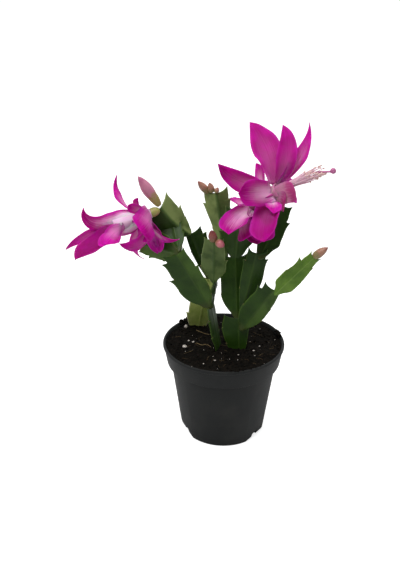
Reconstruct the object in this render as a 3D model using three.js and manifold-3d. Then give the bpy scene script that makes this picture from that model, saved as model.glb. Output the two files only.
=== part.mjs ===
// A christmas cactus in flower in a small nursery pot. Millimetres, +Z up.
// The origin is the centre of the pot's resting face, and the plant is seen from the -Y side.
import * as THREE from "three";
import { mergeVertices } from "three/addons/utils/BufferGeometryUtils.js";
import Module from "manifold-3d";

const wasm = await Module();
wasm.setup();

// Driving dimensions
const CLEARANCE = 0.3;
const POT_RIM_RADIUS = 45;
const POT_HEIGHT = 72.5;
const COLLAR_HEIGHT = 15;
const COLLAR_FOOT_RADIUS = 42;
const BODY_TOP_RADIUS = 39.3;
const BASE_RADIUS = 31.6;
const WALL = 1.4;
const FLOOR = 1.6;
const LIP_HEIGHT = 2.2;
const LIP_PROUD = 0.45;
const POT_SIDES = 48;
const FOOT_NOTCHES = 3;
const FOOT_NOTCH_DEPTH = 2.4;
const FOOT_NOTCH_HEIGHT = 14;
const FIRST_NOTCH_TURN = -35;
const DRAIN_WIDTH = 6;
const DRAIN_HEIGHT = 3.4;
const SOIL_TOP = 70.6;
const SOIL_MOUND = 1.2;
const SOIL_BUMP = 0.9;
const RIB_THICKNESS = 2.6;
const EDGE_THICKNESS = 0.9;
const TEPAL_THICKNESS = 0.8;
const FILAMENT_THICKNESS = 0.8;
const STYLE_THICKNESS = 1.2;
const STIGMA_RADIUS = 1.9;
const STIGMA_LENGTH = 3.6;

const radians = THREE.MathUtils.degToRad;
const vector = (list) => new THREE.Vector3(...list);

// A seeded draw, so that every build gives the same plant.
function seededDraw(seed) {
  let state = seed;
  return () => {
    state = (state * 16807) % 2147483647;
    return state / 2147483647;
  };
}

// Solids
function toSolid(geometry) {
  const bare = geometry.index ? geometry.clone() : geometry;
  bare.deleteAttribute("normal");
  bare.deleteAttribute("uv");
  const merged = mergeVertices(bare, 1e-4);
  const vertProperties = new Float32Array(merged.attributes.position.array);
  const triVerts = new Uint32Array(merged.index.array);
  return new wasm.Manifold(new wasm.Mesh({ numProp: 3, vertProperties, triVerts }));
}

function toGeometry(solid) {
  const { vertProperties, triVerts } = solid.getMesh();
  const geometry = new THREE.BufferGeometry();
  geometry.setAttribute("position", new THREE.BufferAttribute(new Float32Array(vertProperties), 3));
  geometry.setIndex(new THREE.BufferAttribute(new Uint32Array(triVerts), 1));
  geometry.computeVertexNormals();
  return geometry;
}

// Keeps the main body and drops the scraps that a cut leaves.
function mainBody(solid) {
  const bodies = solid.decompose();
  return bodies.reduce((most, body) => (body.volume() > most.volume() ? body : most));
}

// A profile of [radius, height] pairs turned round an axis that starts at a point.
function turned(profile, start, axis, sides) {
  const points = profile.map(([radius, height]) => new THREE.Vector2(radius, height));
  const geometry = new THREE.LatheGeometry(points, sides);
  const turn = new THREE.Quaternion().setFromUnitVectors(new THREE.Vector3(0, 1, 0), axis);
  geometry.applyQuaternion(turn);
  geometry.translate(start.x, start.y, start.z);
  return geometry;
}

// A closed thin body round a grid of places: each place has a point, a normal and half a thickness.
// Both faces are split along the same diagonals, so they never cross where the blade is waved.
function bladeGeometry(grid) {
  const last = grid.length - 1;
  const side = grid[0].length - 1;
  const positions = [];
  for (const sign of [1, -1]) {
    for (const row of grid) {
      for (const { at, out, half } of row) {
        positions.push(...at.clone().addScaledVector(out, sign * half).toArray());
      }
    }
  }
  const front = (i, j) => i * (side + 1) + j;
  const back = (i, j) => front(i, j) + (last + 1) * (side + 1);
  const index = [];
  const quad = (a, b, c, d) => index.push(a, b, c, a, c, d);
  for (let i = 0; i < last; i += 1) {
    for (let j = 0; j < side; j += 1) {
      quad(front(i, j), front(i, j + 1), front(i + 1, j + 1), front(i + 1, j));
      quad(back(i, j), back(i + 1, j), back(i + 1, j + 1), back(i, j + 1));
    }
    quad(front(i, 0), front(i + 1, 0), back(i + 1, 0), back(i, 0));
    quad(front(i, side), back(i, side), back(i + 1, side), front(i + 1, side));
  }
  for (let j = 0; j < side; j += 1) {
    quad(front(0, j), back(0, j), back(0, j + 1), front(0, j + 1));
    quad(front(last, j), front(last, j + 1), back(last, j + 1), back(last, j));
  }
  const geometry = new THREE.BufferGeometry();
  geometry.setAttribute("position", new THREE.Float32BufferAttribute(positions, 3));
  geometry.setIndex(index);
  return geometry;
}

// Pot
const potSlope = (BODY_TOP_RADIUS - BASE_RADIUS) / (POT_HEIGHT - COLLAR_HEIGHT);
const collarFoot = POT_HEIGHT - COLLAR_HEIGHT;
const up = new THREE.Vector3(0, 0, 1);
const origin = new THREE.Vector3();

// The flat facets that step the foot in over the drain slots, each this deep at the ground.
function footNotches(depth) {
  const lean = Math.atan(depth / FOOT_NOTCH_HEIGHT) + Math.atan(potSlope);
  const size = 40;
  let notches = null;
  for (let i = 0; i < FOOT_NOTCHES; i += 1) {
    const box = new THREE.BoxGeometry(size, size, size);
    box.translate(size / 2, 0, 0);
    box.rotateY(lean);
    box.translate(BASE_RADIUS - depth, 0, 0);
    box.rotateZ(radians(FIRST_NOTCH_TURN + (360 / FOOT_NOTCHES) * i));
    notches = notches ? notches.add(toSolid(box)) : toSolid(box);
  }
  return notches;
}

function potSolid() {
  const lipFoot = POT_HEIGHT - LIP_HEIGHT;
  const outer = [
    [0, 0],
    [BASE_RADIUS - 1, 0],
    [BASE_RADIUS, 1],
    [BODY_TOP_RADIUS, collarFoot],
    [COLLAR_FOOT_RADIUS, collarFoot],
    [COLLAR_FOOT_RADIUS + 0.3, collarFoot + 0.6],
    [POT_RIM_RADIUS - LIP_PROUD - 0.2, lipFoot],
    [POT_RIM_RADIUS, lipFoot + 0.4],
    [POT_RIM_RADIUS, POT_HEIGHT - 0.5],
    [POT_RIM_RADIUS - 0.5, POT_HEIGHT],
    [0, POT_HEIGHT],
  ];
  const inner = [
    [0, FLOOR],
    [BASE_RADIUS - WALL, FLOOR],
    [BODY_TOP_RADIUS - WALL, collarFoot + 0.4],
    [COLLAR_FOOT_RADIUS - WALL, collarFoot + WALL],
    [POT_RIM_RADIUS - LIP_PROUD - WALL, POT_HEIGHT],
    [POT_RIM_RADIUS - LIP_PROUD - WALL, POT_HEIGHT + 5],
    [0, POT_HEIGHT + 5],
  ];
  let pot = toSolid(turned(outer, origin, up, POT_SIDES)).subtract(footNotches(FOOT_NOTCH_DEPTH));
  const hollow = toSolid(turned(inner, origin, up, POT_SIDES));
  pot = pot.subtract(hollow.subtract(footNotches(FOOT_NOTCH_DEPTH + WALL)));
  for (let i = 0; i < FOOT_NOTCHES; i += 1) {
    const slot = new THREE.BoxGeometry(12, DRAIN_WIDTH, DRAIN_HEIGHT * 2);
    slot.translate(BASE_RADIUS, 0, 0);
    slot.rotateZ(radians(FIRST_NOTCH_TURN + (360 / FOOT_NOTCHES) * i));
    pot = pot.subtract(toSolid(slot));
  }
  return pot;
}

// Soil: it fills the pot to the brim, with a crumbly top.
function soilSolid() {
  const rings = 6;
  const sectors = 28;
  const draw = seededDraw(77);
  const topRadius = POT_RIM_RADIUS - LIP_PROUD - WALL - CLEARANCE - 0.5;
  const sides = [
    [topRadius - 0.4, POT_HEIGHT - 4],
    [COLLAR_FOOT_RADIUS - WALL - CLEARANCE - 0.2, collarFoot + WALL + 0.4],
    [BODY_TOP_RADIUS - WALL - CLEARANCE - 0.1, collarFoot + 0.4],
    [BASE_RADIUS - WALL - CLEARANCE - 0.1, FLOOR + CLEARANCE],
  ];
  const positions = [0, 0, SOIL_TOP + SOIL_MOUND];
  const ringOf = (radius, heightAt) => {
    for (let k = 0; k < sectors; k += 1) {
      const turn = (2 * Math.PI * k) / sectors;
      positions.push(radius * Math.cos(turn), radius * Math.sin(turn), heightAt());
    }
  };
  for (let i = 1; i <= rings; i += 1) {
    const share = i / rings;
    const calm = i === rings ? 0.5 : 1;
    ringOf(topRadius * share, () => {
      const mound = SOIL_MOUND * (1 - share * share);
      return SOIL_TOP + mound + (draw() - 0.5) * 2 * SOIL_BUMP * calm;
    });
  }
  for (const [radius, height] of sides) {
    ringOf(radius, () => height);
  }
  positions.push(0, 0, FLOOR + CLEARANCE);
  const count = rings + sides.length;
  const at = (ring, k) => 1 + (ring - 1) * sectors + (k % sectors);
  const index = [];
  for (let k = 0; k < sectors; k += 1) {
    index.push(0, at(1, k), at(1, k + 1));
    for (let ring = 1; ring < count; ring += 1) {
      index.push(at(ring, k), at(ring + 1, k), at(ring + 1, k + 1));
      index.push(at(ring, k), at(ring + 1, k + 1), at(ring, k + 1));
    }
    index.push(1 + count * sectors, at(count, k + 1), at(count, k));
  }
  const geometry = new THREE.BufferGeometry();
  geometry.setAttribute("position", new THREE.Float32BufferAttribute(positions, 3));
  geometry.setIndex(index);
  return toSolid(geometry).subtract(footNotches(FOOT_NOTCH_DEPTH + WALL + CLEARANCE));
}

// Stem segments: flat green joints with toothed edges, a thick rib down the middle and a claw at
// each end of the blunt tip.

// The half width of a segment at its foot, as a share of its widest, unless it has a wider foot of its own.
const SLIM_FOOT = 0.16;

// The half width along a segment, as a share of its widest, which is at the peak.
function girth(t, { peak = 0.5, taper = 0.22, foot = SLIM_FOOT }) {
  const swell = Math.sin((Math.min(1, t / peak) * Math.PI) / 2);
  return foot + (1 - foot) * swell - taper * Math.max(0, (t - peak) / (1 - peak)) ** 2;
}

// One edge from the neck to the claw: [share of the length, share of the half width].
function edgeOf(teeth, bite, girthAt) {
  const edge = [
    [0, girthAt(0)],
    [0.05, girthAt(0.08)],
    [0.14, girthAt(0.16)],
  ];
  for (const tooth of teeth) {
    const [place, ownBite] = Array.isArray(tooth) ? tooth : [tooth, bite];
    edge.push([place - 0.1, girthAt(place - 0.1)]);
    edge.push([place - 0.03, girthAt(place) + ownBite * 0.2]);
    edge.push([place + 0.03, girthAt(place) + ownBite]);
    edge.push([place + 0.035, girthAt(place) - ownBite * 0.3]);
  }
  edge.push([0.95, girthAt(0.95)]);
  edge.push([1.05, girthAt(1) + bite * 0.4]);
  return edge;
}

// The body of a segment. With grow it is that much larger all round, to cut what touches it.
function segmentSolid(segment, grow = 0) {
  const { halves, facing = 0, fold = 0, sway = 0, neck = 3.4, foot = SLIM_FOOT } = segment;
  const { rightTeeth = [0.42, 0.72], leftTeeth = [0.5, 0.78], bite = 0.2 } = segment;
  const girthAt = (t) => girth(t, segment);
  const from = vector(segment.from);
  const to = vector(segment.to);
  const along = to.clone().sub(from);
  const length = along.length();
  along.normalize();
  const facet = new THREE.Vector3(0, -1, 0).addScaledVector(along, along.y).normalize();
  const rightward = along.clone().cross(facet);
  const turn = radians(facing);
  const out = facet.clone().multiplyScalar(Math.cos(turn)).addScaledVector(rightward, Math.sin(turn));
  const across = along.clone().cross(out);
  const footRound = 0.5 * (foot - SLIM_FOOT);
  const footRun = Math.max(0.17, 2.6 * footRound);
  const place = (t, share) => {
    const bow = 4 * t * (1 - t);
    const sideways = share * halves[share < 0 ? 0 : 1] + Math.sign(share) * grow;
    const rounding = footRound * Math.max(0, 1 - t / footRun) ** 2 * (share / girthAt(t)) ** 2;
    const ahead = (t + rounding) * length + (t > 0.5 ? grow : 0) - (t < 0.02 ? grow : 0);
    const at = from.clone().addScaledVector(along, ahead);
    at.addScaledVector(out, -Math.abs(sideways) * Math.sin(radians(fold)));
    at.addScaledVector(across, sway * bow + sideways * Math.cos(radians(fold)));
    return { at, out };
  };
  const right = edgeOf(rightTeeth, bite, girthAt);
  const left = edgeOf(leftTeeth, bite, girthAt);
  const rows = right.length;
  const grid = [];
  for (let i = 0; i < rows; i += 1) {
    const middle = i / (rows - 1);
    const neckness = Math.max(0, 1 - middle * 5);
    const rib = THREE.MathUtils.lerp(RIB_THICKNESS - 0.5 * middle, neck, neckness) / 2;
    const edge = THREE.MathUtils.lerp(EDGE_THICKNESS, neck * 0.8, neckness) / 2;
    const row = [
      { ...place(left[i][0], -left[i][1]), half: edge },
      { ...place((left[i][0] + middle) / 2, -girthAt(middle) / 2), half: (edge + rib) / 2 },
      { ...place(middle, 0), half: rib },
      { ...place((right[i][0] + middle) / 2, girthAt(middle) / 2), half: (edge + rib) / 2 },
      { ...place(right[i][0], right[i][1]), half: edge },
    ];
    grid.push(row.map((spot) => ({ ...spot, half: spot.half + grow })));
  }
  return toSolid(bladeGeometry(grid));
}

const OLD_GREEN = 0x2c4a22;
const PALE_GREEN = 0x6f8f52;
const YOUNG_GREEN = 0x5f8f3a;
const YELLOW_GREEN = 0x94a05a;

// Each segment runs from its joint to its tip. Halves are the widths to the left and right of its rib,
// and facing turns its flat side from the viewer to the right. A tooth with a second number has that bite.
const SEGMENTS = [
  // The cutting at the front left
  {
    name: "front_left_segment_1",
    from: [-2, -8, 60],
    to: [-9.7, -9, 104.8],
    halves: [8.5, 8.5],
    facing: 76,
    colour: OLD_GREEN,
  },
  {
    name: "front_left_segment_2",
    from: [-10.3, -9.2, 105.4],
    to: [-32.8, -12, 146.5],
    halves: [13.8, 8],
    facing: -6,
    peak: 0.43,
    taper: 0.3,
    foot: 0.36,
    leftTeeth: [0.59, 0.88],
    rightTeeth: [[0.3, 0], 0.66],
    bite: 0.23,
    colour: OLD_GREEN,
  },
  {
    name: "front_left_segment_3",
    from: [-8.9, -8.6, 105.4],
    to: [-6.7, -5, 123.5],
    halves: [5.5, 5.5],
    facing: 72,
    colour: OLD_GREEN,
  },
  {
    name: "front_left_segment_4",
    from: [-7.4, -6.4, 124],
    to: [-7.2, -20, 159.8],
    halves: [9.2, 8.2],
    facing: -8,
    peak: 0.35,
    taper: 0.3,
    leftTeeth: [[0.3, 0], [0.6, 0.06]],
    rightTeeth: [[0.24, 0.04], 0.52],
    colour: PALE_GREEN,
  },
  {
    name: "front_left_segment_5",
    from: [-32.7, -10.7, 147.1],
    to: [-59.4, 4, 148],
    halves: [9, 11],
    peak: 0.4,
    foot: 0.4,
    leftTeeth: [[0.35, 0.08], 0.72],
    colour: OLD_GREEN,
  },
  // The cutting at the rear left
  {
    name: "rear_left_segment_1",
    from: [-21, 29, 60],
    to: [-13, 15, 116.6],
    halves: [10, 7],
    peak: 0.35,
    leftTeeth: [0.36, 0.7],
    bite: 0.16,
    colour: YELLOW_GREEN,
  },
  {
    name: "rear_left_segment_2",
    from: [-13, 15, 117.2],
    to: [-24.8, 5, 154.8],
    halves: [3.8, 10.5],
    facing: 14,
    peak: 0.7,
    leftTeeth: [[0.3, 0.06], [0.62, 0.1]],
    rightTeeth: [0.5, 0.85],
    colour: OLD_GREEN,
  },
  {
    name: "rear_left_segment_3",
    from: [-25.4, 4, 155.4],
    to: [-44, -5, 177.2],
    halves: [14, 11.6],
    facing: 18,
    fold: 28,
    sway: -1.6,
    taper: 0,
    foot: 0.3,
    leftTeeth: [[0.4, 0.1], 0.76],
    rightTeeth: [[0.24, 0.05], 0.52],
    colour: PALE_GREEN,
  },
  // The dark segment behind the left flower, on the front left cutting
  {
    name: "front_left_segment_6",
    from: [-31.4, -10.6, 148.2],
    to: [-37.8, 6.2, 168.2],
    halves: [9, 5.6],
    peak: 0.35,
    taper: 0.1,
    foot: 0.5,
    colour: OLD_GREEN,
  },
  // The cutting in the middle
  {
    name: "centre_segment_1",
    from: [12, -10, 60],
    to: [10.4, -8, 95.9],
    halves: [12, 7.2],
    peak: 0.85,
    neck: 4.4,
    leftTeeth: [[0.4, 0.05], [0.75, 0.05]],
    rightTeeth: [[0.4, 0.05], [0.75, 0.05]],
    colour: OLD_GREEN,
  },
  {
    name: "centre_segment_2",
    from: [9.4, -7, 96.1],
    to: [7.5, 4, 138.3],
    halves: [11, 9],
    peak: 0.4,
    taper: 0.12,
    leftTeeth: [[0.36, 0.03], [0.68, 0.08]],
    colour: OLD_GREEN,
  },
  {
    name: "centre_segment_3",
    from: [12.2, -9, 96.9],
    to: [21.3, -8, 146.5],
    halves: [6.8, 9.8],
    facing: 8,
    fold: 12,
    peak: 0.7,
    leftTeeth: [[0.4, 0.05], [0.82, 0.24]],
    rightTeeth: [[0.45, 0.04], 0.86],
    colour: OLD_GREEN,
  },
  {
    name: "centre_segment_4",
    from: [8.6, 4.6, 138.9],
    to: [9.8, 2, 174],
    halves: [12.2, 11],
    peak: 0.3,
    foot: 0.66,
    colour: PALE_GREEN,
  },
  {
    name: "centre_segment_5",
    from: [0.6, 5.6, 138.9],
    to: [-6.5, 9, 183.6],
    halves: [10.6, 9.2],
    fold: 30,
    peak: 0.9,
    taper: 0.08,
    leftTeeth: [[0.4, 0.04], 0.8],
    rightTeeth: [[0.5, 0.06], 0.82],
    colour: PALE_GREEN,
  },
  {
    name: "centre_segment_6",
    from: [25.2, -5.3, 145.4],
    to: [40, 10, 174.6],
    halves: [8.6, 9.2],
    peak: 0.25,
    taper: 0.4,
    foot: 0.5,
    rightTeeth: [[0.3, 0.02], 0.72],
    bite: 0.25,
    colour: OLD_GREEN,
  },
  {
    name: "right_segment_1",
    from: [12.8, -11.6, 89],
    to: [33.6, -15, 122.2],
    halves: [10.5, 8.2],
    peak: 0.4,
    taper: 0.35,
    leftTeeth: [[0.4, 0.05], 0.86],
    rightTeeth: [[0.3, 0.04], [0.6, 0.06]],
    bite: 0.3,
    colour: OLD_GREEN,
  },
  {
    name: "right_segment_2",
    from: [35.2, -14.2, 118.8],
    to: [60, -16, 147.4],
    halves: [7, 7.4],
    peak: 0.24,
    taper: 0.5,
    foot: 0.4,
    leftTeeth: [[0.45, 0.06], 0.76],
    rightTeeth: [[0.45, 0.04], [0.78, 0.08]],
    bite: 0.35,
    colour: YOUNG_GREEN,
  },
];

// Flowers

// The frame of a flower: ahead along its axis, upwards across it, and to its left.
function flowerFrame(direction) {
  const ahead = vector(direction).normalize();
  const upwards = up.clone().addScaledVector(ahead, -ahead.z).normalize();
  return { ahead, upwards, leftwards: ahead.clone().cross(upwards) };
}

// The half width along a tepal, as a share of its widest. A blunt tepal keeps its width for longer, and
// the foot is that share at its root.
function tepalGirth(t, { blunt = 1.8, foot = 0.45 }) {
  const swell = foot + (1 - foot) * Math.sin((Math.min(1, t / 0.5) * Math.PI) / 2);
  const taper = 1 - Math.max(0, (t - 0.5) / 0.5) ** blunt;
  return Math.max(0.06, swell * taper);
}

// One tepal, which leaves the tube at one angle to the axis, curls on to another and rolls its face
// round as it goes. A late one curls near its tip, a creased one is folded along its middle, a cupped one
// is hollow, and sway carries its tip aside.
function tepalSolid(from, frame, tepal) {
  const { ahead, upwards, leftwards } = frame;
  const { root, azimuth, leave, end, length, width, roll = 0 } = tepal;
  const { late = 1.3, sway = 0, crease = 0, cup = 0.12 } = tepal;
  const turn = radians(azimuth);
  const outwards = upwards.clone().multiplyScalar(Math.cos(turn)).addScaledVector(leftwards, Math.sin(turn));
  const across = ahead.clone().cross(outwards);
  const ring = 3 + root * 0.05;
  const at = from.clone().addScaledVector(ahead, root).addScaledVector(outwards, ring);
  const angleAt = (t) => radians(leave + (end - leave) * t ** late);
  const steps = THREE.MathUtils.clamp(Math.round(length / 9), 3, 5);
  const grid = [];
  for (let i = 0; i <= steps; i += 1) {
    const t = i / steps;
    const flat = outwards.clone().multiplyScalar(Math.cos(angleAt(t)));
    flat.addScaledVector(ahead, -Math.sin(angleAt(t)));
    const rolled = radians(roll * Math.min(1, t / 0.4));
    const out = flat.clone().multiplyScalar(Math.cos(rolled)).addScaledVector(across, -Math.sin(rolled));
    const wide = across.clone().multiplyScalar(Math.cos(rolled)).addScaledVector(flat, Math.sin(rolled));
    const half = (tepalGirth(t, tepal) * width) / 2;
    const drop = half * (0.1 + cup + crease * Math.min(1, t * 3));
    const middle = at.clone().addScaledVector(wide, sway * t * t);
    const spot = (share) => ({
      at: middle.clone().addScaledVector(wide, share * half).addScaledVector(out, -Math.abs(share) * drop),
      out,
      half: TEPAL_THICKNESS / 2,
    });
    grid.push([spot(-1), spot(0), spot(1)]);
    const between = angleAt((i + 0.5) / steps);
    at.addScaledVector(ahead, (Math.cos(between) * length) / steps);
    at.addScaledVector(outwards, (Math.sin(between) * length) / steps);
  }
  return toSolid(bladeGeometry(grid));
}

const OVARY_LENGTH = 7;
const TUBE_START = 6.2;

function ovarySolid(flower, grow = 0) {
  const { ahead } = flowerFrame(flower.direction);
  const profile = [
    [0, -grow],
    [1.5 + grow, -grow],
    [2.9 + grow, 2.2],
    [3.3 + grow, 4.6],
    [2.7 + grow, OVARY_LENGTH + grow],
    [0, OVARY_LENGTH + grow],
  ];
  return toSolid(turned(profile, vector(flower.from), ahead, 10));
}

function corollaSolid(flower) {
  const frame = flowerFrame(flower.direction);
  const from = vector(flower.from);
  const { tubeLength } = flower;
  const tube = [
    [2.4, TUBE_START],
    [3.4, TUBE_START],
    [3.9, TUBE_START + tubeLength * 0.5],
    [5, TUBE_START + tubeLength],
    [4.1, TUBE_START + tubeLength],
    [3, TUBE_START + tubeLength * 0.5],
    [2.4, TUBE_START],
  ];
  let corolla = toSolid(turned(tube, from, frame.ahead, 12));
  for (const tepal of flower.tepals) {
    corolla = corolla.add(tepalSolid(from, frame, tepal));
  }
  return corolla;
}

// A thin stalk along a smooth curve, with a few flat sides.
function stalkSolid(points, thickness, steps, sides = 4) {
  const section = new THREE.Shape();
  for (let k = 0; k < sides; k += 1) {
    const turn = (2 * Math.PI * k) / sides;
    const corner = [(thickness / 2) * Math.cos(turn), (thickness / 2) * Math.sin(turn)];
    if (k === 0) {
      section.moveTo(...corner);
    } else {
      section.lineTo(...corner);
    }
  }
  const extrudePath = new THREE.CatmullRomCurve3(points);
  return toSolid(new THREE.ExtrudeGeometry(section, { steps, extrudePath, bevelEnabled: false }));
}

// A small knob, longer along its axis. An anther needs fewer faces than a stigma.
function knobSolid(centre, axis, radius, length, plain = false) {
  const knob = plain ? new THREE.OctahedronGeometry(radius, 0) : new THREE.IcosahedronGeometry(radius, 0);
  knob.scale(1, length / (2 * radius), 1);
  knob.applyQuaternion(new THREE.Quaternion().setFromUnitVectors(new THREE.Vector3(0, 1, 0), axis));
  knob.translate(centre.x, centre.y, centre.z);
  return toSolid(knob);
}

// A place in a flower's frame, from its distance along the axis, its height over it and to its left.
function flowerPlace(flower, along, height, left) {
  const { ahead, upwards, leftwards } = flowerFrame(flower.direction);
  const place = vector(flower.from).addScaledVector(ahead, along);
  return place.addScaledVector(upwards, height).addScaledVector(leftwards, left);
}

// The style stands on the ovary and runs out past the stamens to a knobbed stigma.
function styleSolid(flower, grow = 0) {
  const { ahead } = flowerFrame(flower.direction);
  const { along, height, left, arch } = flower.stigma;
  const mouth = TUBE_START + flower.tubeLength;
  const end = flowerPlace(flower, along, height, left);
  const points = [
    flowerPlace(flower, OVARY_LENGTH - grow, 0, 0),
    flowerPlace(flower, mouth * 0.6, 0, 0),
    flowerPlace(flower, (mouth + along) / 2, height * 0.4 + arch, left * 0.4),
    end,
  ];
  const stalk = stalkSolid(points, STYLE_THICKNESS + 2 * grow, 10, 5);
  return stalk.add(knobSolid(end, ahead, STIGMA_RADIUS + grow, STIGMA_LENGTH + 2 * grow));
}

// The stamens rise from one bundle in the tube and part into filaments, each with its anther.
function stamensSolid(flower, grow = 0) {
  const { ahead } = flowerFrame(flower.direction);
  const { count, reach, height, left, spread } = flower.stamens;
  const draw = seededDraw(flower.seed);
  const start = TUBE_START + flower.tubeLength * 0.5;
  const mouth = TUBE_START + flower.tubeLength;
  const bundle = [
    [0, -grow],
    [2.6 + grow, -grow],
    [3 + grow, mouth - start - 4],
    [2.4 + grow, mouth - start + grow],
    [0, mouth - start + grow],
  ];
  let stamens = toSolid(turned(bundle, flowerPlace(flower, start, 0, 0), ahead, 8));
  for (let k = 0; k < count; k += 1) {
    const turn = (2 * Math.PI * k) / count;
    const rise = Math.cos(turn);
    const side = Math.sin(turn);
    const far = mouth + reach * (0.82 + 0.3 * draw());
    const end = flowerPlace(flower, far, height + rise * spread, left + side * spread);
    const points = [
      flowerPlace(flower, mouth - 3, rise * 1.8, side * 1.8),
      flowerPlace(flower, mouth + reach * 0.4, height * 0.3 + rise * 2.2, left * 0.3 + side * 2.2),
      end,
    ];
    stamens = stamens.add(stalkSolid(points, FILAMENT_THICKNESS + 2 * grow, 3));
    stamens = stamens.add(knobSolid(end, ahead, 0.9 + grow, 2.6 + 2 * grow, true));
  }
  return stamens;
}

// Each tepal roots some way along the flower's axis, at an azimuth round it. It leaves the axis at one
// angle in degrees and ends at another.
const FLOWERS = [
  {
    name: "left_flower",
    from: [-44.6, -6.8, 176.4],
    direction: [-0.92, -0.27, -0.285],
    tubeLength: 26,
    seed: 31,
    stigma: { along: 52, height: -5, left: 2, arch: 0 },
    stamens: { count: 5, reach: 12, height: -3, left: 1, spread: 2.6 },
    tepals: [
      // The short outer ones, curled back from the foot of the tube
      { root: 16, azimuth: 30, leave: 54, end: 128, length: 31, width: 7, roll: 40, blunt: 1.5 },
      { root: 8, azimuth: -42, leave: 43, end: 79, length: 22, width: 7, roll: 60, blunt: 3 },
      { root: 10, azimuth: -18, leave: 43, end: 141, length: 14, width: 6, roll: -32, blunt: 2.5 },
      { root: 8, azimuth: -90, leave: 60, end: 38, length: 14, width: 19, roll: -29, blunt: 6, foot: 0.85 },
      { root: 8, azimuth: -151, leave: 41, end: 80, length: 17, width: 12, roll: 47, blunt: 4, sway: 0.7 },
      { root: 8, azimuth: 176, leave: 74, end: 98, length: 28, width: 10, roll: 54, blunt: 2.5 },
      {
        root: 8, azimuth: -159, leave: 75, end: -56, length: 36, width: 13, roll: -39, blunt: 2.5,
        sway: 2.5,
      },
      { root: 8, azimuth: 152, leave: 35, end: 126, length: 49, width: 7, roll: 34 },
      { root: 8, azimuth: 190, leave: 103, end: 77, length: 26, width: 12, roll: 35, blunt: 4, sway: -3.9 },
      { root: 8, azimuth: -158, leave: 80, end: 185, length: 28, width: 5, roll: 46 },
      { root: 8, azimuth: 95, leave: 40, end: 110, length: 22, width: 10 },
      // Those that cover the tube and the long inner ones from its mouth
      { root: 12, azimuth: 26, leave: -5, end: -32, length: 14, width: 9, roll: 54, sway: 5 },
      {
        root: 13, azimuth: -5, leave: -4, end: 128, length: 43, width: 15, roll: 85, blunt: 1.6,
        late: 3, sway: -3, foot: 0.6,
      },
      {
        root: 13, azimuth: -142, leave: 15, end: -49, length: 27, width: 12, roll: -39, blunt: 2.2,
        sway: -0.9,
      },
      { root: 29, azimuth: -99, leave: 0, end: 63, length: 41, width: 14, roll: -68 },
      { root: 28, azimuth: 124, leave: -27, end: 68, length: 48, width: 8, roll: -22, blunt: 1.6 },
      {
        root: 26, azimuth: -94, leave: 7, end: 108, length: 26, width: 11, roll: -85, blunt: 2.2,
        sway: 3.5,
      },
      { root: 28, azimuth: -93, leave: 34, end: 76, length: 23, width: 13, roll: -66, blunt: 2.5 },
      { root: 29, azimuth: 76, leave: 10, end: 70, length: 24, width: 12 },
    ],
  },
  {
    name: "right_flower",
    from: [9.8, 2, 174.4],
    direction: [0.741, -0.401, 0.538],
    tubeLength: 27,
    seed: 57,
    stigma: { along: 73, height: -4, left: 0, arch: 3.5 },
    stamens: { count: 9, reach: 31, height: 0, left: 0, spread: 3.8 },
    tepals: [
      // The three upright ones and the wing at the left
      {
        root: 31, azimuth: -24, leave: 84, end: 119, length: 51, width: 20, roll: 40, blunt: 1.9,
        sway: -1.7, crease: 0.2, foot: 0.8,
      },
      {
        root: 31, azimuth: -27, leave: 35, end: 106, length: 43, width: 13, roll: 51, blunt: 2.1,
        crease: 0.15,
      },
      { root: 31, azimuth: -47, leave: 29, end: 98, length: 52, width: 9, roll: 29, blunt: 1.0, late: 1.6 },
      { root: 30, azimuth: 49, leave: 120, end: 65, length: 48, width: 13, roll: 36, blunt: 1.8 },
      // The rounded ones that hang in front
      { root: 30, azimuth: 72, leave: 99, end: 97, length: 31, width: 17, roll: 26, blunt: 5, foot: 0.7 },
      { root: 30, azimuth: 126, leave: 108, end: 83, length: 36, width: 18, roll: -67, blunt: 6, cup: 0.4 },
      {
        root: 14, azimuth: 172, leave: 102, end: 121, length: 24, width: 17, roll: -41, blunt: 6,
        cup: 0.35,
      },
      { root: 9, azimuth: 165, leave: 100, end: 108, length: 24, width: 14, roll: -50, blunt: 5, cup: 0.3 },
      {
        root: 9, azimuth: 110, leave: 115, end: 69, length: 30, width: 17, roll: -53, blunt: 5,
        sway: -3.2, cup: 0.4,
      },
      {
        root: 9, azimuth: 135, leave: 133, end: 84, length: 26, width: 15, roll: 85, blunt: 4,
        sway: -4, cup: 0.3,
      },
      // The ones round the throat
      { root: 27, azimuth: 135, leave: -2, end: 22, length: 20, width: 14, roll: 50, blunt: 6, foot: 0.8 },
      { root: 26, azimuth: 150, leave: 22, end: 48, length: 12, width: 14, roll: 60, blunt: 6, foot: 0.8 },
      { root: 25, azimuth: 118, leave: 48, end: 92, length: 20, width: 10, roll: -47, blunt: 4, sway: 0.8 },
      // The small ones at the foot of the tube
      { root: 16, azimuth: -42, leave: 70, end: 119, length: 28, width: 7, roll: 70, blunt: 2.5 },
      { root: 8, azimuth: 58, leave: 114, end: 73, length: 15, width: 9, roll: -26 },
      // Those at the back
      { root: 31, azimuth: -110, leave: 55, end: 120, length: 15, width: 18, blunt: 4 },
      { root: 9, azimuth: -75, leave: 60, end: 130, length: 20, width: 12 },
      { root: 9, azimuth: -130, leave: 70, end: 140, length: 20, width: 12 },
    ],
  },
];

// Buds: furled spindles at the segment tips.
const BUD_SIDES = 9;
const BUD_TWIST = 120;

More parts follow.
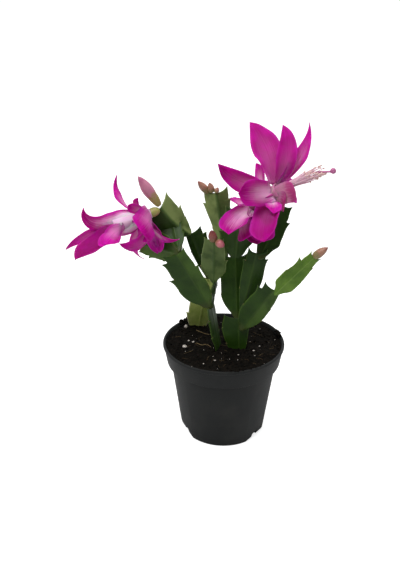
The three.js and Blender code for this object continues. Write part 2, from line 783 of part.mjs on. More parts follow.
// A bud from its foot to its tip, with the edges of its wrapped tepals as three turning ridges. Belly is
// how far along it is widest.
function budSolid({ from, to, radius, belly = 0.4 }, grow = 0) {
  const start = vector(from);
  const along = vector(to).sub(start);
  const length = along.length();
  const profile = [
    [0, -grow],
    [radius * 0.42 + grow, -grow],
    [radius * 0.8 + grow, length * belly * 0.42],
    [radius + grow, length * belly],
    [radius * 0.9 + grow, length * (belly + 0.37 * (1 - belly))],
    [radius * 0.55 + grow, length * (belly + 0.7 * (1 - belly))],
    [0.4 + grow, length + grow],
    [0, length + grow],
  ];
  const bud = turned(profile, origin, new THREE.Vector3(0, 1, 0), BUD_SIDES);
  const places = bud.attributes.position;
  for (let i = 0; i < places.count; i += 1) {
    const share = THREE.MathUtils.clamp(places.getY(i) / length, 0, 1);
    const turn = Math.atan2(places.getZ(i), places.getX(i));
    const ridge = 1 + 0.07 * Math.sin(Math.PI * share) * Math.cos(3 * (turn + radians(BUD_TWIST) * share));
    places.setX(i, places.getX(i) * ridge);
    places.setZ(i, places.getZ(i) * ridge);
  }
  const turn = new THREE.Quaternion().setFromUnitVectors(new THREE.Vector3(0, 1, 0), along.normalize());
  bud.applyQuaternion(turn);
  bud.translate(start.x, start.y, start.z);
  return toSolid(bud);
}

const BUD_PINK = 0xd68c98;
const BUD_RED = 0x8c3b34;
const BUD_ROSE = 0xc6586e;
const BUD_TAN = 0xb49070;

const BUDS = [
  {
    name: "rear_left_bud",
    from: [-44.8, -5.2, 179],
    to: [-58.1, -8, 199.8],
    radius: 3.85,
    belly: 0.52,
    colour: BUD_PINK,
  },
  {
    name: "front_left_bud_1",
    from: [-7.6, -20.6, 159.8],
    to: [-9.2, -23, 168.3],
    radius: 2.9,
    colour: BUD_RED,
  },
  {
    name: "front_left_bud_2",
    from: [-5.4, -21.4, 159.5],
    to: [-0.7, -27, 158.6],
    radius: 2.6,
    colour: BUD_ROSE,
  },
  {
    name: "centre_bud_1",
    from: [-12.4, 12, 183.2],
    to: [-19.4, 8, 192.2],
    radius: 2.6,
    colour: BUD_TAN,
  },
  {
    name: "centre_bud_2",
    from: [-9.6, 10.8, 183.8],
    to: [-11.4, 9, 191],
    radius: 2.3,
    colour: BUD_TAN,
  },
  {
    name: "centre_bud_3",
    from: [-6.9, 9.2, 183.8],
    to: [-5.6, 8.4, 187.9],
    radius: 1.7,
    colour: BUD_TAN,
  },
  {
    name: "right_bud",
    from: [59.8, -16, 147.4],
    to: [68.6, -18, 155.4],
    radius: 2.9,
    colour: BUD_TAN,
  },
];

// Building: each piece gives way to the pieces before it and keeps a gap to them.
const part = new THREE.Group();
const taken = [];

function addPiece(name, solid, colour, roughness, grown = null) {
  let body = solid;
  for (const other of taken) {
    body = body.subtract(other);
  }
  body = mainBody(body);
  const material = new THREE.MeshStandardMaterial({ color: colour, roughness, metalness: 0 });
  const mesh = new THREE.Mesh(toGeometry(body), material);
  mesh.name = name;
  part.add(mesh);
  if (grown) {
    taken.push(grown);
  }
}

addPiece("pot", potSolid(), 0x2d2f2e, 0.45);
for (const segment of SEGMENTS) {
  addPiece(segment.name, segmentSolid(segment), segment.colour, 0.4, segmentSolid(segment, CLEARANCE));
}
addPiece("soil", soilSolid(), 0x1c1815, 1);
for (const bud of BUDS) {
  addPiece(bud.name, budSolid(bud), bud.colour, 0.5, budSolid(bud, CLEARANCE));
}
for (const flower of FLOWERS) {
  const { name } = flower;
  addPiece(`${name}_ovary`, ovarySolid(flower), 0x9a9a4a, 0.5, ovarySolid(flower, CLEARANCE));
  addPiece(`${name}_style`, styleSolid(flower), 0xd0508a, 0.4, styleSolid(flower, CLEARANCE));
  addPiece(`${name}_stamens`, stamensSolid(flower), 0xf0e2d0, 0.6, stamensSolid(flower, CLEARANCE));
  addPiece(`${name}_tepals`, corollaSolid(flower), 0xc02c92, 0.5);
}

export default part;
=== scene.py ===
import math
import random

import bmesh
import bpy
import numpy as np
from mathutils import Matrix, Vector, noise


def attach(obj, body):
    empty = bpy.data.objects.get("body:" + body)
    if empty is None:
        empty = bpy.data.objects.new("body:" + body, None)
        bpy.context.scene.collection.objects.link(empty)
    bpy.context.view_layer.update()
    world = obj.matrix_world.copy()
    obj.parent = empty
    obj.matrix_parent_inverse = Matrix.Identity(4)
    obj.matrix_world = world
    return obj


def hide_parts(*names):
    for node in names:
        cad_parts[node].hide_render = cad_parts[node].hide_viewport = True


# A christmas cactus in flower in a small nursery pot. Lengths are in millimetres until add_mesh makes metres
# of them. The plant is seen from the -Y side.
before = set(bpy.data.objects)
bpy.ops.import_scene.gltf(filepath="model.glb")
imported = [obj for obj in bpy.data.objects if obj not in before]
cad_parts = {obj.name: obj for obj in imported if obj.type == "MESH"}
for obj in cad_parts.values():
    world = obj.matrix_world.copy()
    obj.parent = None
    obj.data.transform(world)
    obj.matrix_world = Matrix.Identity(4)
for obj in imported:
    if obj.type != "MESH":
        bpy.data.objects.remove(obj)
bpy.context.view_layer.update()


# Pot
# A nursery pot of thin black polypropylene, moulded in one shot: a tapered body, a wider collar with a thin
# lip, and three facets that step the foot in over the drain slots.
MM = 0.001
POT_RIM_RADIUS = 45.0
POT_HEIGHT = 72.5
COLLAR_FOOT = 57.5
COLLAR_FOOT_RADIUS = 42.0
BODY_TOP_RADIUS = 39.3
BASE_RADIUS = 31.6
WALL = 1.4
FLOOR = 1.6
LIP_HEIGHT = 2.2
LIP_PROUD = 0.45
POT_SIDES = 160
FACET_DEPTH = 2.4
FACET_HEIGHT = 14.0
FIRST_FACET_TURN = -35
FACETS = 3
FACET_CUTTER = 60
POT_SLOPE = (BODY_TOP_RADIUS - BASE_RADIUS) / COLLAR_FOOT
DRAIN_WIDTH = 6.0
DRAIN_HEIGHT = 3.4
DRAIN_REACH = 6.0
EDGE_ROUNDING = 0.25
SHARP_FROM = math.radians(28)
ROUNDED_FROM = math.radians(40)


def add_mesh(name, points, faces, form=None, tone=None):
    """A smooth mesh from points in millimetres. Form is a UV pair and tone a number for each point."""
    mesh = bpy.data.meshes.new(name)
    mesh.from_pydata([tuple(c * MM for c in point) for point in points], [], faces)
    corners = np.empty(len(mesh.loops), np.int32)
    mesh.loops.foreach_get("vertex_index", corners)
    if form is not None:
        layer = mesh.uv_layers.new(name="Form")
        layer.data.foreach_set("uv", np.asarray(form, np.float32)[corners].ravel())
    if tone is not None:
        mesh.attributes.new("tone", "FLOAT", "POINT").data.foreach_set("value", np.asarray(tone, np.float32))
    mesh.polygons.foreach_set("use_smooth", [True] * len(mesh.polygons))
    mesh.update()
    piece = bpy.data.objects.new(name, mesh)
    bpy.context.scene.collection.objects.link(piece)
    return piece


def turned_mesh(name, profile, sides):
    """A profile of (radius, height) pairs, turned round Z. It starts and ends on the axis."""
    points = [(0, 0, profile[0][1])]
    faces = []
    rings = profile[1:-1]
    for radius, height in rings:
        for k in range(sides):
            turn = 2 * math.pi * k / sides
            points.append((radius * math.cos(turn), radius * math.sin(turn), height))
    points.append((0, 0, profile[-1][1]))
    last = len(points) - 1
    for k in range(sides):
        follow = (k + 1) % sides
        faces.append((0, 1 + follow, 1 + k))
        for i in range(len(rings) - 1):
            low, high = 1 + i * sides, 1 + (i + 1) * sides
            faces.append((low + k, low + follow, high + follow, high + k))
        top = 1 + (len(rings) - 1) * sides
        faces.append((top + k, top + follow, last))
    return add_mesh(name, points, faces)


def facing_box(name, size, lean, distance, turn):
    """A box of that depth, width and height. Its near face leans out and stands that far from the axis."""
    depth, width, height = size
    points = []
    for x in (0, depth):
        for y in (-width / 2, width / 2):
            for z in (-height / 2, height / 2):
                out = x * math.cos(lean) + z * math.sin(lean) + distance
                up = z * math.cos(lean) - x * math.sin(lean)
                ahead = out * math.cos(turn) - y * math.sin(turn)
                aside = out * math.sin(turn) + y * math.cos(turn)
                points.append((ahead, aside, up))
    faces = [(0, 1, 3, 2), (4, 6, 7, 5), (0, 4, 5, 1), (2, 3, 7, 6), (0, 2, 6, 4), (1, 5, 7, 3)]
    return add_mesh(name, points, faces)


def cut_away(piece, other):
    """Cuts the other solid out of the piece and takes it out of the scene."""
    change = piece.modifiers.new("cut", "BOOLEAN")
    change.operation = "DIFFERENCE"
    change.object = other
    change.solver = "EXACT"
    bpy.context.view_layer.update()
    depsgraph = bpy.context.evaluated_depsgraph_get()
    mesh = bpy.data.meshes.new_from_object(piece.evaluated_get(depsgraph))
    piece.modifiers.clear()
    piece.data = mesh
    bpy.data.objects.remove(other)


def facet_turns():
    """The directions that the facets face, evenly round the pot."""
    return [math.radians(FIRST_FACET_TURN + 360 / FACETS * i) for i in range(FACETS)]


def shade_smooth(piece, sharp_from):
    """Shades a piece smooth, apart from its edges that are sharper than that angle."""
    piece.data.polygons.foreach_set("use_smooth", [True] * len(piece.data.polygons))
    piece.data.set_sharp_from_angle(angle=sharp_from)


def step_in_foot(piece, depth):
    """Cuts the facets into the foot of a solid."""
    lean = math.atan(depth / FACET_HEIGHT) + math.atan(POT_SLOPE)
    for turn in facet_turns():
        cut_away(piece, facing_box("facet", (FACET_CUTTER,) * 3, lean, BASE_RADIUS - depth, turn))


def node(tree, kind, **values):
    """A shader node with its inputs set, or linked where the value is another node's output."""
    made = tree.nodes.new("ShaderNode" + kind)
    for key, value in values.items():
        target = made.inputs[key.replace("_", " ")]
        if isinstance(value, bpy.types.NodeSocket):
            tree.links.new(value, target)
        else:
            target.default_value = value
    return made


def calculate(tree, operation, first, second=0.0, third=None):
    """The result of a Math node."""
    made = tree.nodes.new("ShaderNodeMath")
    made.operation = operation
    for slot_number, value in enumerate((first, second, third)):
        if isinstance(value, bpy.types.NodeSocket):
            tree.links.new(value, made.inputs[slot_number])
        elif value is not None:
            made.inputs[slot_number].default_value = value
    return made.outputs[0]


def rise(tree, value, start, end):
    """A smooth step from 0 at the start to 1 at the end."""
    made = tree.nodes.new("ShaderNodeMapRange")
    made.interpolation_type = "SMOOTHSTEP"
    tree.links.new(value, made.inputs["Value"])
    made.inputs["From Min"].default_value = start
    made.inputs["From Max"].default_value = end
    return made.outputs["Result"]


def blend_colours(tree, share, first, second):
    """A colour between two others."""
    made = tree.nodes.new("ShaderNodeMix")
    made.data_type = "RGBA"
    for key, value in (("Factor_Float", share), ("A_Color", first), ("B_Color", second)):
        target = next(socket for socket in made.inputs if socket.identifier == key)
        if isinstance(value, bpy.types.NodeSocket):
            tree.links.new(value, target)
        else:
            target.default_value = (*value, 1) if isinstance(value, tuple) else value
    return next(socket for socket in made.outputs if socket.identifier == "Result_Color")


def paint(red, green, blue):
    """A colour that is named by its 0 to 255 screen values, as linear light."""
    shares = [value / 255 for value in (red, green, blue)]
    return tuple(((share + 0.055) / 1.055) ** 2.4 if share > 0.04 else share / 12.92 for share in shares)


def new_material(name, roughness, specular=0.5):
    """A material with its tree and its Principled BSDF."""
    material = bpy.data.materials.new(name)
    material.use_nodes = True
    tree = material.node_tree
    shader = tree.nodes["Principled BSDF"]
    shader.inputs["Roughness"].default_value = roughness
    shader.inputs["Specular IOR Level"].default_value = specular
    return material, tree, shader


def use_group(tree, group, **values):
    """The outputs of a node group that is placed in a material with its own values."""
    made = tree.nodes.new("ShaderNodeGroup")
    made.node_tree = group
    for key, value in values.items():
        made.inputs[key].default_value = value
    return made.outputs


def grain_group():
    """A node group for an uneven grain all through a piece, by its grains to a metre, detail and stretch."""
    group = bpy.data.node_groups.new("Grain", "ShaderNodeTree")
    for name, kind in (("Grains", "Float"), ("Detail", "Float"), ("Stretch", "Vector")):
        group.interface.new_socket(name, in_out="INPUT", socket_type="NodeSocket" + kind)
    group.interface.new_socket("Value", in_out="OUTPUT", socket_type="NodeSocketFloat")
    given = group.nodes.new("NodeGroupInput").outputs
    place = group.nodes.new("ShaderNodeTexCoord").outputs["Object"]
    drawn_out = node(group, "Mapping", Vector=place, Scale=given["Stretch"]).outputs["Vector"]
    grains = node(group, "TexNoise", Vector=drawn_out, Scale=given["Grains"], Detail=given["Detail"])
    output = group.nodes.new("NodeGroupOutput")
    group.links.new(grains.outputs["Fac"], output.inputs["Value"])
    return group


grain_nodes = grain_group()


def grain(tree, grains, detail=4.0, stretch=(1, 1, 1)):
    """The value of the grain group in a material."""
    return use_group(tree, grain_nodes, Grains=grains, Detail=detail, Stretch=stretch)["Value"]


def raise_surface(tree, shader, height, depth):
    """A bump on the shader, as deep as given in millimetres."""
    made = node(tree, "Bump", Height=height, Distance=depth * MM, Strength=1.0)
    tree.links.new(made.outputs["Normal"], shader.inputs["Normal"])


def wear(piece, material, slot_name, *nodes):
    """The piece takes its material, rides on the plant and stands for its solids. The slot name is not used.
    """
    piece.data.materials.clear()
    piece.data.materials.append(material)
    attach(piece, "root")
    if nodes:
        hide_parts(*nodes)
    return piece


# Both outlines run from the axis at the foot to the axis at the top, as (radius, height).
LIP_FOOT = POT_HEIGHT - LIP_HEIGHT
pot_outside = [
    (0, 0),
    (BASE_RADIUS - 1.2, 0),
    (BASE_RADIUS - 0.4, 0.25),
    (BASE_RADIUS, 1.0),
    (BODY_TOP_RADIUS - 0.1, COLLAR_FOOT - 0.3),
    (BODY_TOP_RADIUS + 0.3, COLLAR_FOOT),
    (COLLAR_FOOT_RADIUS - 0.35, COLLAR_FOOT),
    (COLLAR_FOOT_RADIUS, COLLAR_FOOT + 0.3),
    (COLLAR_FOOT_RADIUS + 0.2, COLLAR_FOOT + 0.9),
    (POT_RIM_RADIUS - LIP_PROUD - 0.25, LIP_FOOT - 0.2),
    (POT_RIM_RADIUS - LIP_PROUD, LIP_FOOT),
    (POT_RIM_RADIUS - 0.1, LIP_FOOT + 0.25),
    (POT_RIM_RADIUS, LIP_FOOT + 0.5),
    (POT_RIM_RADIUS, POT_HEIGHT - 0.6),
    (POT_RIM_RADIUS - 0.2, POT_HEIGHT - 0.15),
    (POT_RIM_RADIUS - 0.6, POT_HEIGHT),
    (0, POT_HEIGHT),
]
pot_inside = [
    (0, FLOOR),
    (BASE_RADIUS - WALL, FLOOR),
    (BODY_TOP_RADIUS - WALL, COLLAR_FOOT + 0.4),
    (COLLAR_FOOT_RADIUS - WALL, COLLAR_FOOT + WALL),
    (POT_RIM_RADIUS - LIP_PROUD - WALL, POT_HEIGHT - 0.3),
    (POT_RIM_RADIUS - LIP_PROUD - WALL + 0.4, POT_HEIGHT + 0.2),
    (POT_RIM_RADIUS - LIP_PROUD - WALL + 0.4, POT_HEIGHT + 5),
    (0, POT_HEIGHT + 5),
]
pot = turned_mesh("pot", pot_outside, POT_SIDES)
pot_hollow = turned_mesh("pot_hollow", pot_inside, POT_SIDES)
step_in_foot(pot, FACET_DEPTH)
step_in_foot(pot_hollow, FACET_DEPTH + WALL)
cut_away(pot, pot_hollow)
# A drain slot is open at the foot, so what cuts it reaches as far below the foot as above.
for turn in facet_turns():
    size = (2 * DRAIN_REACH, DRAIN_WIDTH, 2 * DRAIN_HEIGHT)
    cut_away(pot, facing_box("drain", size, 0, BASE_RADIUS - DRAIN_REACH, turn))
shade_smooth(pot, SHARP_FROM)
edge_round = pot.modifiers.new("moulded edges", "BEVEL")
edge_round.width = EDGE_ROUNDING * MM
edge_round.segments = 2
edge_round.limit_method = "ANGLE"
edge_round.angle_limit = ROUNDED_FROM
edge_round.harden_normals = True

# The plastic has a fine satin grain, faint upright flow streaks and a little dust in patches.
pot_plastic, tree, shader = new_material("black polypropylene", 0.5, 0.2)
satin = grain(tree, 2600, 3)
streaks = grain(tree, 260, 4, (1, 1, 0.06))
blotches = grain(tree, 45, 3)
dust = calculate(tree, "MULTIPLY", rise(tree, blotches, 0.45, 0.75), 0.35)
tone = blend_colours(tree, streaks, paint(25, 27, 27), paint(34, 36, 36))
tree.links.new(blend_colours(tree, dust, tone, paint(54, 54, 51)), shader.inputs["Base Color"])
tree.links.new(calculate(tree, "MULTIPLY_ADD", streaks, 0.14, 0.45), shader.inputs["Roughness"])
raise_surface(tree, shader, calculate(tree, "ADD", satin, calculate(tree, "MULTIPLY", streaks, 1.5)), 0.035)
wear(pot, pot_plastic, "pot_plastic", "pot")


# Soil
# A plug of dark peat that fills the pot to the brim. It was pressed in by hand, so its top is uneven and
# crumbly, and some crumbs lie on the rim.
SOIL_TOP = 70.6
SOIL_MOUND = 1.2
SOIL_RADIUS = POT_RIM_RADIUS - LIP_PROUD - WALL - 0.35
SOIL_RINGS = 84
SOIL_SECTORS = 220
SOIL_GAP = 0.3
SOIL_LUMPS = 0.75
SOIL_CRUMBLE = 0.55


def soil_height(x, y):
    """The height of the soil's top at a place."""
    share = math.hypot(x, y) / SOIL_RADIUS
    lump = noise.fractal((x * 0.11, y * 0.11, 3.0), 0.9, 2.1, 3)
    crumb = noise.fractal((x * 0.55, y * 0.55, 9.0), 0.7, 2.2, 5)
    mound = SOIL_TOP + SOIL_MOUND * (1 - share * share)
    return mound + SOIL_LUMPS * lump + SOIL_CRUMBLE * crumb - 0.3 * share**6


points = [(0, 0, soil_height(0, 0))]
faces = []
for i in range(1, SOIL_RINGS + 1):
    radius = SOIL_RADIUS * (i / SOIL_RINGS) ** 0.8
    for k in range(SOIL_SECTORS):
        turn = 2 * math.pi * k / SOIL_SECTORS
        x, y = radius * math.cos(turn), radius * math.sin(turn)
        points.append((x, y, soil_height(x, y)))
soil_sides = [
    (SOIL_RADIUS - 0.6, POT_HEIGHT - 5),
    (COLLAR_FOOT_RADIUS - WALL - 0.5, COLLAR_FOOT + WALL + 0.4),
    (BODY_TOP_RADIUS - WALL - 0.4, COLLAR_FOOT + 0.4),
    (BASE_RADIUS - WALL - 0.6, FLOOR + SOIL_GAP),
]
for radius, height in soil_sides:
    for k in range(SOIL_SECTORS):
        turn = 2 * math.pi * k / SOIL_SECTORS
        points.append((radius * math.cos(turn), radius * math.sin(turn), height))
points.append((0, 0, FLOOR + SOIL_GAP))
ring_count = SOIL_RINGS + len(soil_sides)
for k in range(SOIL_SECTORS):
    follow = (k + 1) % SOIL_SECTORS
    faces.append((0, 1 + k, 1 + follow))
    for i in range(ring_count - 1):
        near, far = 1 + i * SOIL_SECTORS, 1 + (i + 1) * SOIL_SECTORS
        faces.append((near + k, far + k, far + follow, near + follow))
    last_ring = 1 + (ring_count - 1) * SOIL_SECTORS
    faces.append((len(points) - 1, last_ring + follow, last_ring + k))
soil = add_mesh("soil", points, faces)
step_in_foot(soil, FACET_DEPTH + WALL + SOIL_GAP)
shade_smooth(soil, math.radians(60))


def own_tone(tree):
    """The tone that a mesh holds for each of its points."""
    made = tree.nodes.new("ShaderNodeAttribute")
    made.attribute_name = "tone"
    return made.outputs["Fac"]


# Peat is near black, with brown fibres and specks. Each crumb has a tone of its own.
peat, tree, shader = new_material("dark peat", 0.95, 0.08)
peat_fibres = grain(tree, 1500, 6, (1, 0.35, 1))
clods = grain(tree, 420, 5)
share = calculate(tree, "ADD", rise(tree, clods, 0.35, 0.75), own_tone(tree))
ground = blend_colours(tree, share, paint(9, 8, 6), paint(26, 22, 17))
brown = blend_colours(tree, rise(tree, peat_fibres, 0.62, 0.75), ground, paint(48, 36, 26))
tree.links.new(brown, shader.inputs["Base Color"])
raise_surface(tree, shader, calculate(tree, "ADD", peat_fibres, clods), 0.6)
wear(soil, peat, "soil", "soil")


def add_lump(skin, centre, radius, roughness, draw, tone, detail=1):
    """A small uneven lump, added to the lists of a skin."""
    lump = bmesh.new()
    bmesh.ops.create_icosphere(lump, subdivisions=detail, radius=1.0)
    first = len(skin["points"])
    stretch = Vector((0.75 + 0.5 * draw.random(), 0.75 + 0.5 * draw.random(), 0.6 + 0.35 * draw.random()))
    shift = Vector((draw.random(), draw.random(), draw.random())) * 40
    for vertex in lump.verts:
        bulge = 1 + roughness * noise.noise(vertex.co * 1.7 + shift)
        point = Vector(vertex.co[i] * stretch[i] for i in range(3)) * radius * bulge + Vector(centre)
        skin["points"].append(tuple(point))
        skin["tone"].append(tone)
    for face in lump.faces:
        skin["faces"].append(tuple(first + vertex.index for vertex in face.verts))
    lump.free()


def new_skin():
    """Empty lists for a mesh that is built up bit by bit."""
    return {"points": [], "faces": [], "tone": [], "form": []}


def skin_mesh(name, skin):
    """The mesh of a skin, with the forms and tones that its points were given."""
    return add_mesh(name, skin["points"], skin["faces"], skin["form"] or None, skin["tone"] or None)


def soil_spot(draw, reach):
    """A random place on the soil, within that share of its radius."""
    radius = SOIL_RADIUS * math.sqrt(draw.random()) * reach
    turn = 2 * math.pi * draw.random()
    return radius * math.cos(turn), radius * math.sin(turn)


# Crumbs lie all over the soil. More lie on the rim in heaps: their direction from +X and their spread in
# degrees, how many there are and how large.
CRUMBS = 1100
CRUMB_ROUGHNESS = 0.7
RIM_HEAPS = [(-68, 16, 34, 0.9), (133, 9, 56, 1.6), (16, 6, 40, 1.5), (-120, 14, 10, 0.6)]
draw = random.Random(11)
crumbs = new_skin()
for _ in range(CRUMBS):
    x, y = soil_spot(draw, 0.985)
    size = 0.22 + 0.75 * draw.random() ** 3
    centre = (x, y, soil_height(x, y) + size * 0.25)
    add_lump(crumbs, centre, size, CRUMB_ROUGHNESS, draw, 0.7 * draw.random() ** 2)
for azimuth, spread, count, largest in RIM_HEAPS:
    for _ in range(count):
        turn = math.radians(azimuth + spread * (draw.random() * 2 - 1))
        radius = SOIL_RADIUS - 0.6 + 1.6 * draw.random()
        size = largest * (0.4 + 0.6 * draw.random())
        height = POT_HEIGHT - 0.6 + size * (0.4 + draw.random())
        centre = (radius * math.cos(turn), radius * math.sin(turn), height)
        add_lump(crumbs, centre, size, CRUMB_ROUGHNESS, draw, 0.5 * draw.random())
wear(skin_mesh("soil_crumbs", crumbs), peat, "soil")


# Perlite
# Grains of expanded volcanic glass, white and chalky and up to 3 mm across. They were mixed into the peat,
# and some lie on top. The larger ones are listed by place and radius, and the rest are strewn.
LARGE_GRAINS = [
    (-29.5, 23.5, 1.7), (-28.5, -8.0, 1.5), (-26.0, 0.5, 0.7), (-22.4, -1.6, 0.8), (-6.0, -27.0, 0.7),
    (-14.0, -31.0, 0.5), (-8.5, 11.0, 0.6), (3.0, -1.0, 0.5), (10.8, -18.5, 0.6), (22.0, -12.0, 0.6),
    (26.5, -5.0, 0.6), (41.5, 14.5, 0.6), (16.0, 22.0, 0.6), (-14.0, 31.0, 0.7),
]
SMALL_GRAINS = 34
GRAIN_ROUGHNESS = 0.5
perlite_grains = new_skin()
for x, y, size in LARGE_GRAINS:
    centre = (x, y, soil_height(x, y) + size * 0.3)
    add_lump(perlite_grains, centre, size, GRAIN_ROUGHNESS, draw, 0.0, 2)
for _ in range(SMALL_GRAINS):
    x, y = soil_spot(draw, 0.97)
    size = 0.16 + 0.3 * draw.random() ** 2
    centre = (x, y, soil_height(x, y) + size * 0.4)
    add_lump(perlite_grains, centre, size, GRAIN_ROUGHNESS, draw, 0.0)
perlite = skin_mesh("perlite", perlite_grains)
perlite_white, tree, shader = new_material("perlite", 0.85, 0.3)
pores = grain(tree, 1800, 5)
chalk = blend_colours(tree, rise(tree, pores, 0.3, 0.65), paint(150, 138, 126), paint(226, 220, 212))
tree.links.new(chalk, shader.inputs["Base Color"])
raise_surface(tree, shader, pores, 0.4)
wear(perlite, perlite_white, "soil")


# Roots and fibres
# Thin tan roots of the plant come out of the peat at the left and go in again, and fine brown fibres of the
# peat lie all over. A root is listed by marks on the soil, with how far each one rises over it.
ROOT_RADIUS = 0.3
FIBRES = 60
fibres = new_skin()
root_lines = [
    [(-21, 17, 0.2), (-18, 12.5, 0.8), (-13, 9.5, 0.9), (-8, 9.5, 0.7), (-4.5, 11, 0.1)],
    [(-16, 24, 0.1), (-13.5, 27.5, 1.6), (-9.5, 29, 2.6), (-6, 27, 1.8), (-4, 22, 0.2)],
    [(-20, -3, 0.1), (-16, -6, 0.5), (-12, -5.5, 0.5), (-9, -8, 0.1)],
]


def join_rings(skin, first, rings, sides, closed=False):
    """The walls between rings of points that follow each other, added to the faces of a skin."""
    for i in range(rings if closed else rings - 1):
        low, high = first + i * sides, first + (i + 1) % rings * sides
        for k in range(sides):
            follow = (k + 1) % sides
            skin["faces"].append((low + k, low + follow, high + follow, high + k))


def add_thread(skin, spine, radii, sides=6, tone=0.0):
    """A round thread along a list of points, closed at both ends, added to the lists of a skin."""
    first = len(skin["points"])
    spine = [Vector(point) for point in spine]
    aside = None
    for i, point in enumerate(spine):
        ahead = (spine[min(i + 1, len(spine) - 1)] - spine[max(i - 1, 0)]).normalized()
        if aside is None:
            aside = ahead.orthogonal().normalized()
        aside = (aside - ahead * aside.dot(ahead)).normalized()
        other = ahead.cross(aside)
        for k in range(sides):
            turn = 2 * math.pi * k / sides
            offset = (aside * math.cos(turn) + other * math.sin(turn)) * radii[i]
            skin["points"].append(tuple(point + offset))
            skin["tone"].append(tone)
    join_rings(skin, first, len(spine), sides)
    skin["faces"].append(tuple(first + k for k in reversed(range(sides))))
    top = first + (len(spine) - 1) * sides
    skin["faces"].append(tuple(top + k for k in range(sides)))


def smooth_line(marks, steps):
    """A smooth line through a list of points. At each it runs in line with its two neighbours."""
    marks = [Vector(mark) for mark in marks]
    marks = [marks[0] * 2 - marks[1], *marks, marks[-1] * 2 - marks[-2]]
    line = []
    for i in range(1, len(marks) - 2):
        before, start, end, after = marks[i - 1 : i + 3]
        for k in range(steps):
            t = k / steps
            bend = 2 * before - 5 * start + 4 * end - after
            twist = 3 * start - before - 3 * end + after
            line.append(0.5 * (2 * start + (end - before) * t + bend * t * t + twist * t**3))
    line.append(marks[-2])
    return line


for marks in root_lines:
    raised = [(x, y, soil_height(x, y) + lift) for x, y, lift in marks]
    line = smooth_line(raised, 8)
    radii = [ROOT_RADIUS * (1 - 0.5 * i / len(line)) for i in range(len(line))]
    add_thread(fibres, line, radii, 7, 1.0)
for _ in range(FIBRES):
    middle_x, middle_y = soil_spot(draw, 0.93)
    heading = 2 * math.pi * draw.random()
    length = 2 + 5 * draw.random()
    marks = []
    for i in range(4):
        x = middle_x + (i / 3 - 0.5) * length * math.cos(heading) + 0.7 * draw.random()
        y = middle_y + (i / 3 - 0.5) * length * math.sin(heading) + 0.7 * draw.random()
        marks.append((x, y, soil_height(x, y) + 0.1 + 0.5 * draw.random()))
    line = smooth_line(marks, 3)
    thin = 0.07 + 0.07 * draw.random()
    add_thread(fibres, line, [thin] * len(line), 4, draw.random() * 0.7)
roots = skin_mesh("roots", fibres)
root_skin, tree, shader = new_material("roots", 0.8, 0.15)
tan = blend_colours(tree, own_tone(tree), paint(42, 32, 25), paint(126, 108, 76))
shade = blend_colours(tree, rise(tree, grain(tree, 900), 0.4, 0.8), tan, paint(92, 72, 48))
tree.links.new(shade, shader.inputs["Base Color"])
wear(roots, root_skin, "soil")


# Stem segments
# The plant has no leaves: its stems are flat green joints with a thick rib, claw-like teeth and a blunt,
# two-clawed tip, each grown from the tip of the one before. The skin is waxy, and thin and paler at the edge.
BLADE_HALF = 0.42
BLADE_SWELL = 0.3
RIB_HALF = 0.46
RIB_REACH = 1.15
RIM_SHARE = 0.22
USUAL_NECK = 3.4
USUAL_BASE = 0.16
USUAL_BITE = 0.2
LEFT_TEETH = [0.5, 0.78]
RIGHT_TEETH = [0.42, 0.72]
SEGMENT_ROWS = 96
HALF_COLUMNS = [0, 0.035, 0.08, 0.14, 0.22, 0.32, 0.44, 0.57, 0.7, 0.8, 0.88, 0.94, 0.975, 0.993, 1.0]
TOOTH_RUN = 0.14
TOOTH_TIP = 0.03
TOOTH_DROP = 0.012
TOOTH_LEAN = 0.12
NOTCH_RUN = 0.1
NOTCH_DEPTH = 0.34
CLAWS_FROM = 0.93
CLAW_CURL = 0.07
FOOT_SINK = 1.3


def add_sheet(skin, grid):
    """A closed thin body round a grid of (point, normal, half thickness, form, tone), added to a skin."""
    first = len(skin["points"])
    rows, columns = len(grid), len(grid[0])
    for side in (1, -1):
        for row in grid:
            for point, normal, half, form, tone in row:
                skin["points"].append(tuple(point + normal * (side * half)))
                skin["form"].append(form)
                skin["tone"].append(tone)
    back = first + rows * columns
    faces = skin["faces"]
    for i in range(rows - 1):
        for j in range(columns - 1):
            a, b = i * columns + j, i * columns + j + 1
            c, d = a + columns, b + columns
            faces.append((first + a, first + b, first + d, first + c))
            faces.append((back + a, back + c, back + d, back + b))
        left, right = i * columns, i * columns + columns - 1
        faces.append((first + left, first + left + columns, back + left + columns, back + left))
        faces.append((first + right, back + right, back + right + columns, first + right + columns))
    end = (rows - 1) * columns
    for j in range(columns - 1):
        faces.append((first + j, back + j, back + j + 1, first + j + 1))
        faces.append((first + end + j, first + end + j + 1, back + end + j + 1, back + end + j))


def mix(first, second, share):
    """A value between two others."""
    return first + (second - first) * share


def segment_girth(t, peak, taper, base):
    """The half width along a segment, as a share of its widest, which is at the peak."""
    swell = math.sin(min(1.0, t / peak) * math.pi / 2)
    return base + (1 - base) * swell - taper * max(0.0, (t - peak) / (1 - peak)) ** 2


def tooth_reach(t, at):
    """How far a tooth has risen at t, from 0 to 1 at its tip, and below 0 in the notch behind it."""
    tip = at + TOOTH_TIP
    if at - TOOTH_RUN < t <= tip:
        climb = (t - at + TOOTH_RUN) / (TOOTH_RUN + TOOTH_TIP)
        return 0.55 * climb**1.6 + 0.45 * climb**6
    if tip < t <= tip + TOOTH_DROP:
        return mix(1.0, -NOTCH_DEPTH, (t - tip) / TOOTH_DROP)
    if tip + TOOTH_DROP < t < tip + NOTCH_RUN:
        return -NOTCH_DEPTH * (1 - (t - tip - TOOTH_DROP) / (NOTCH_RUN - TOOTH_DROP)) ** 2
    return 0.0


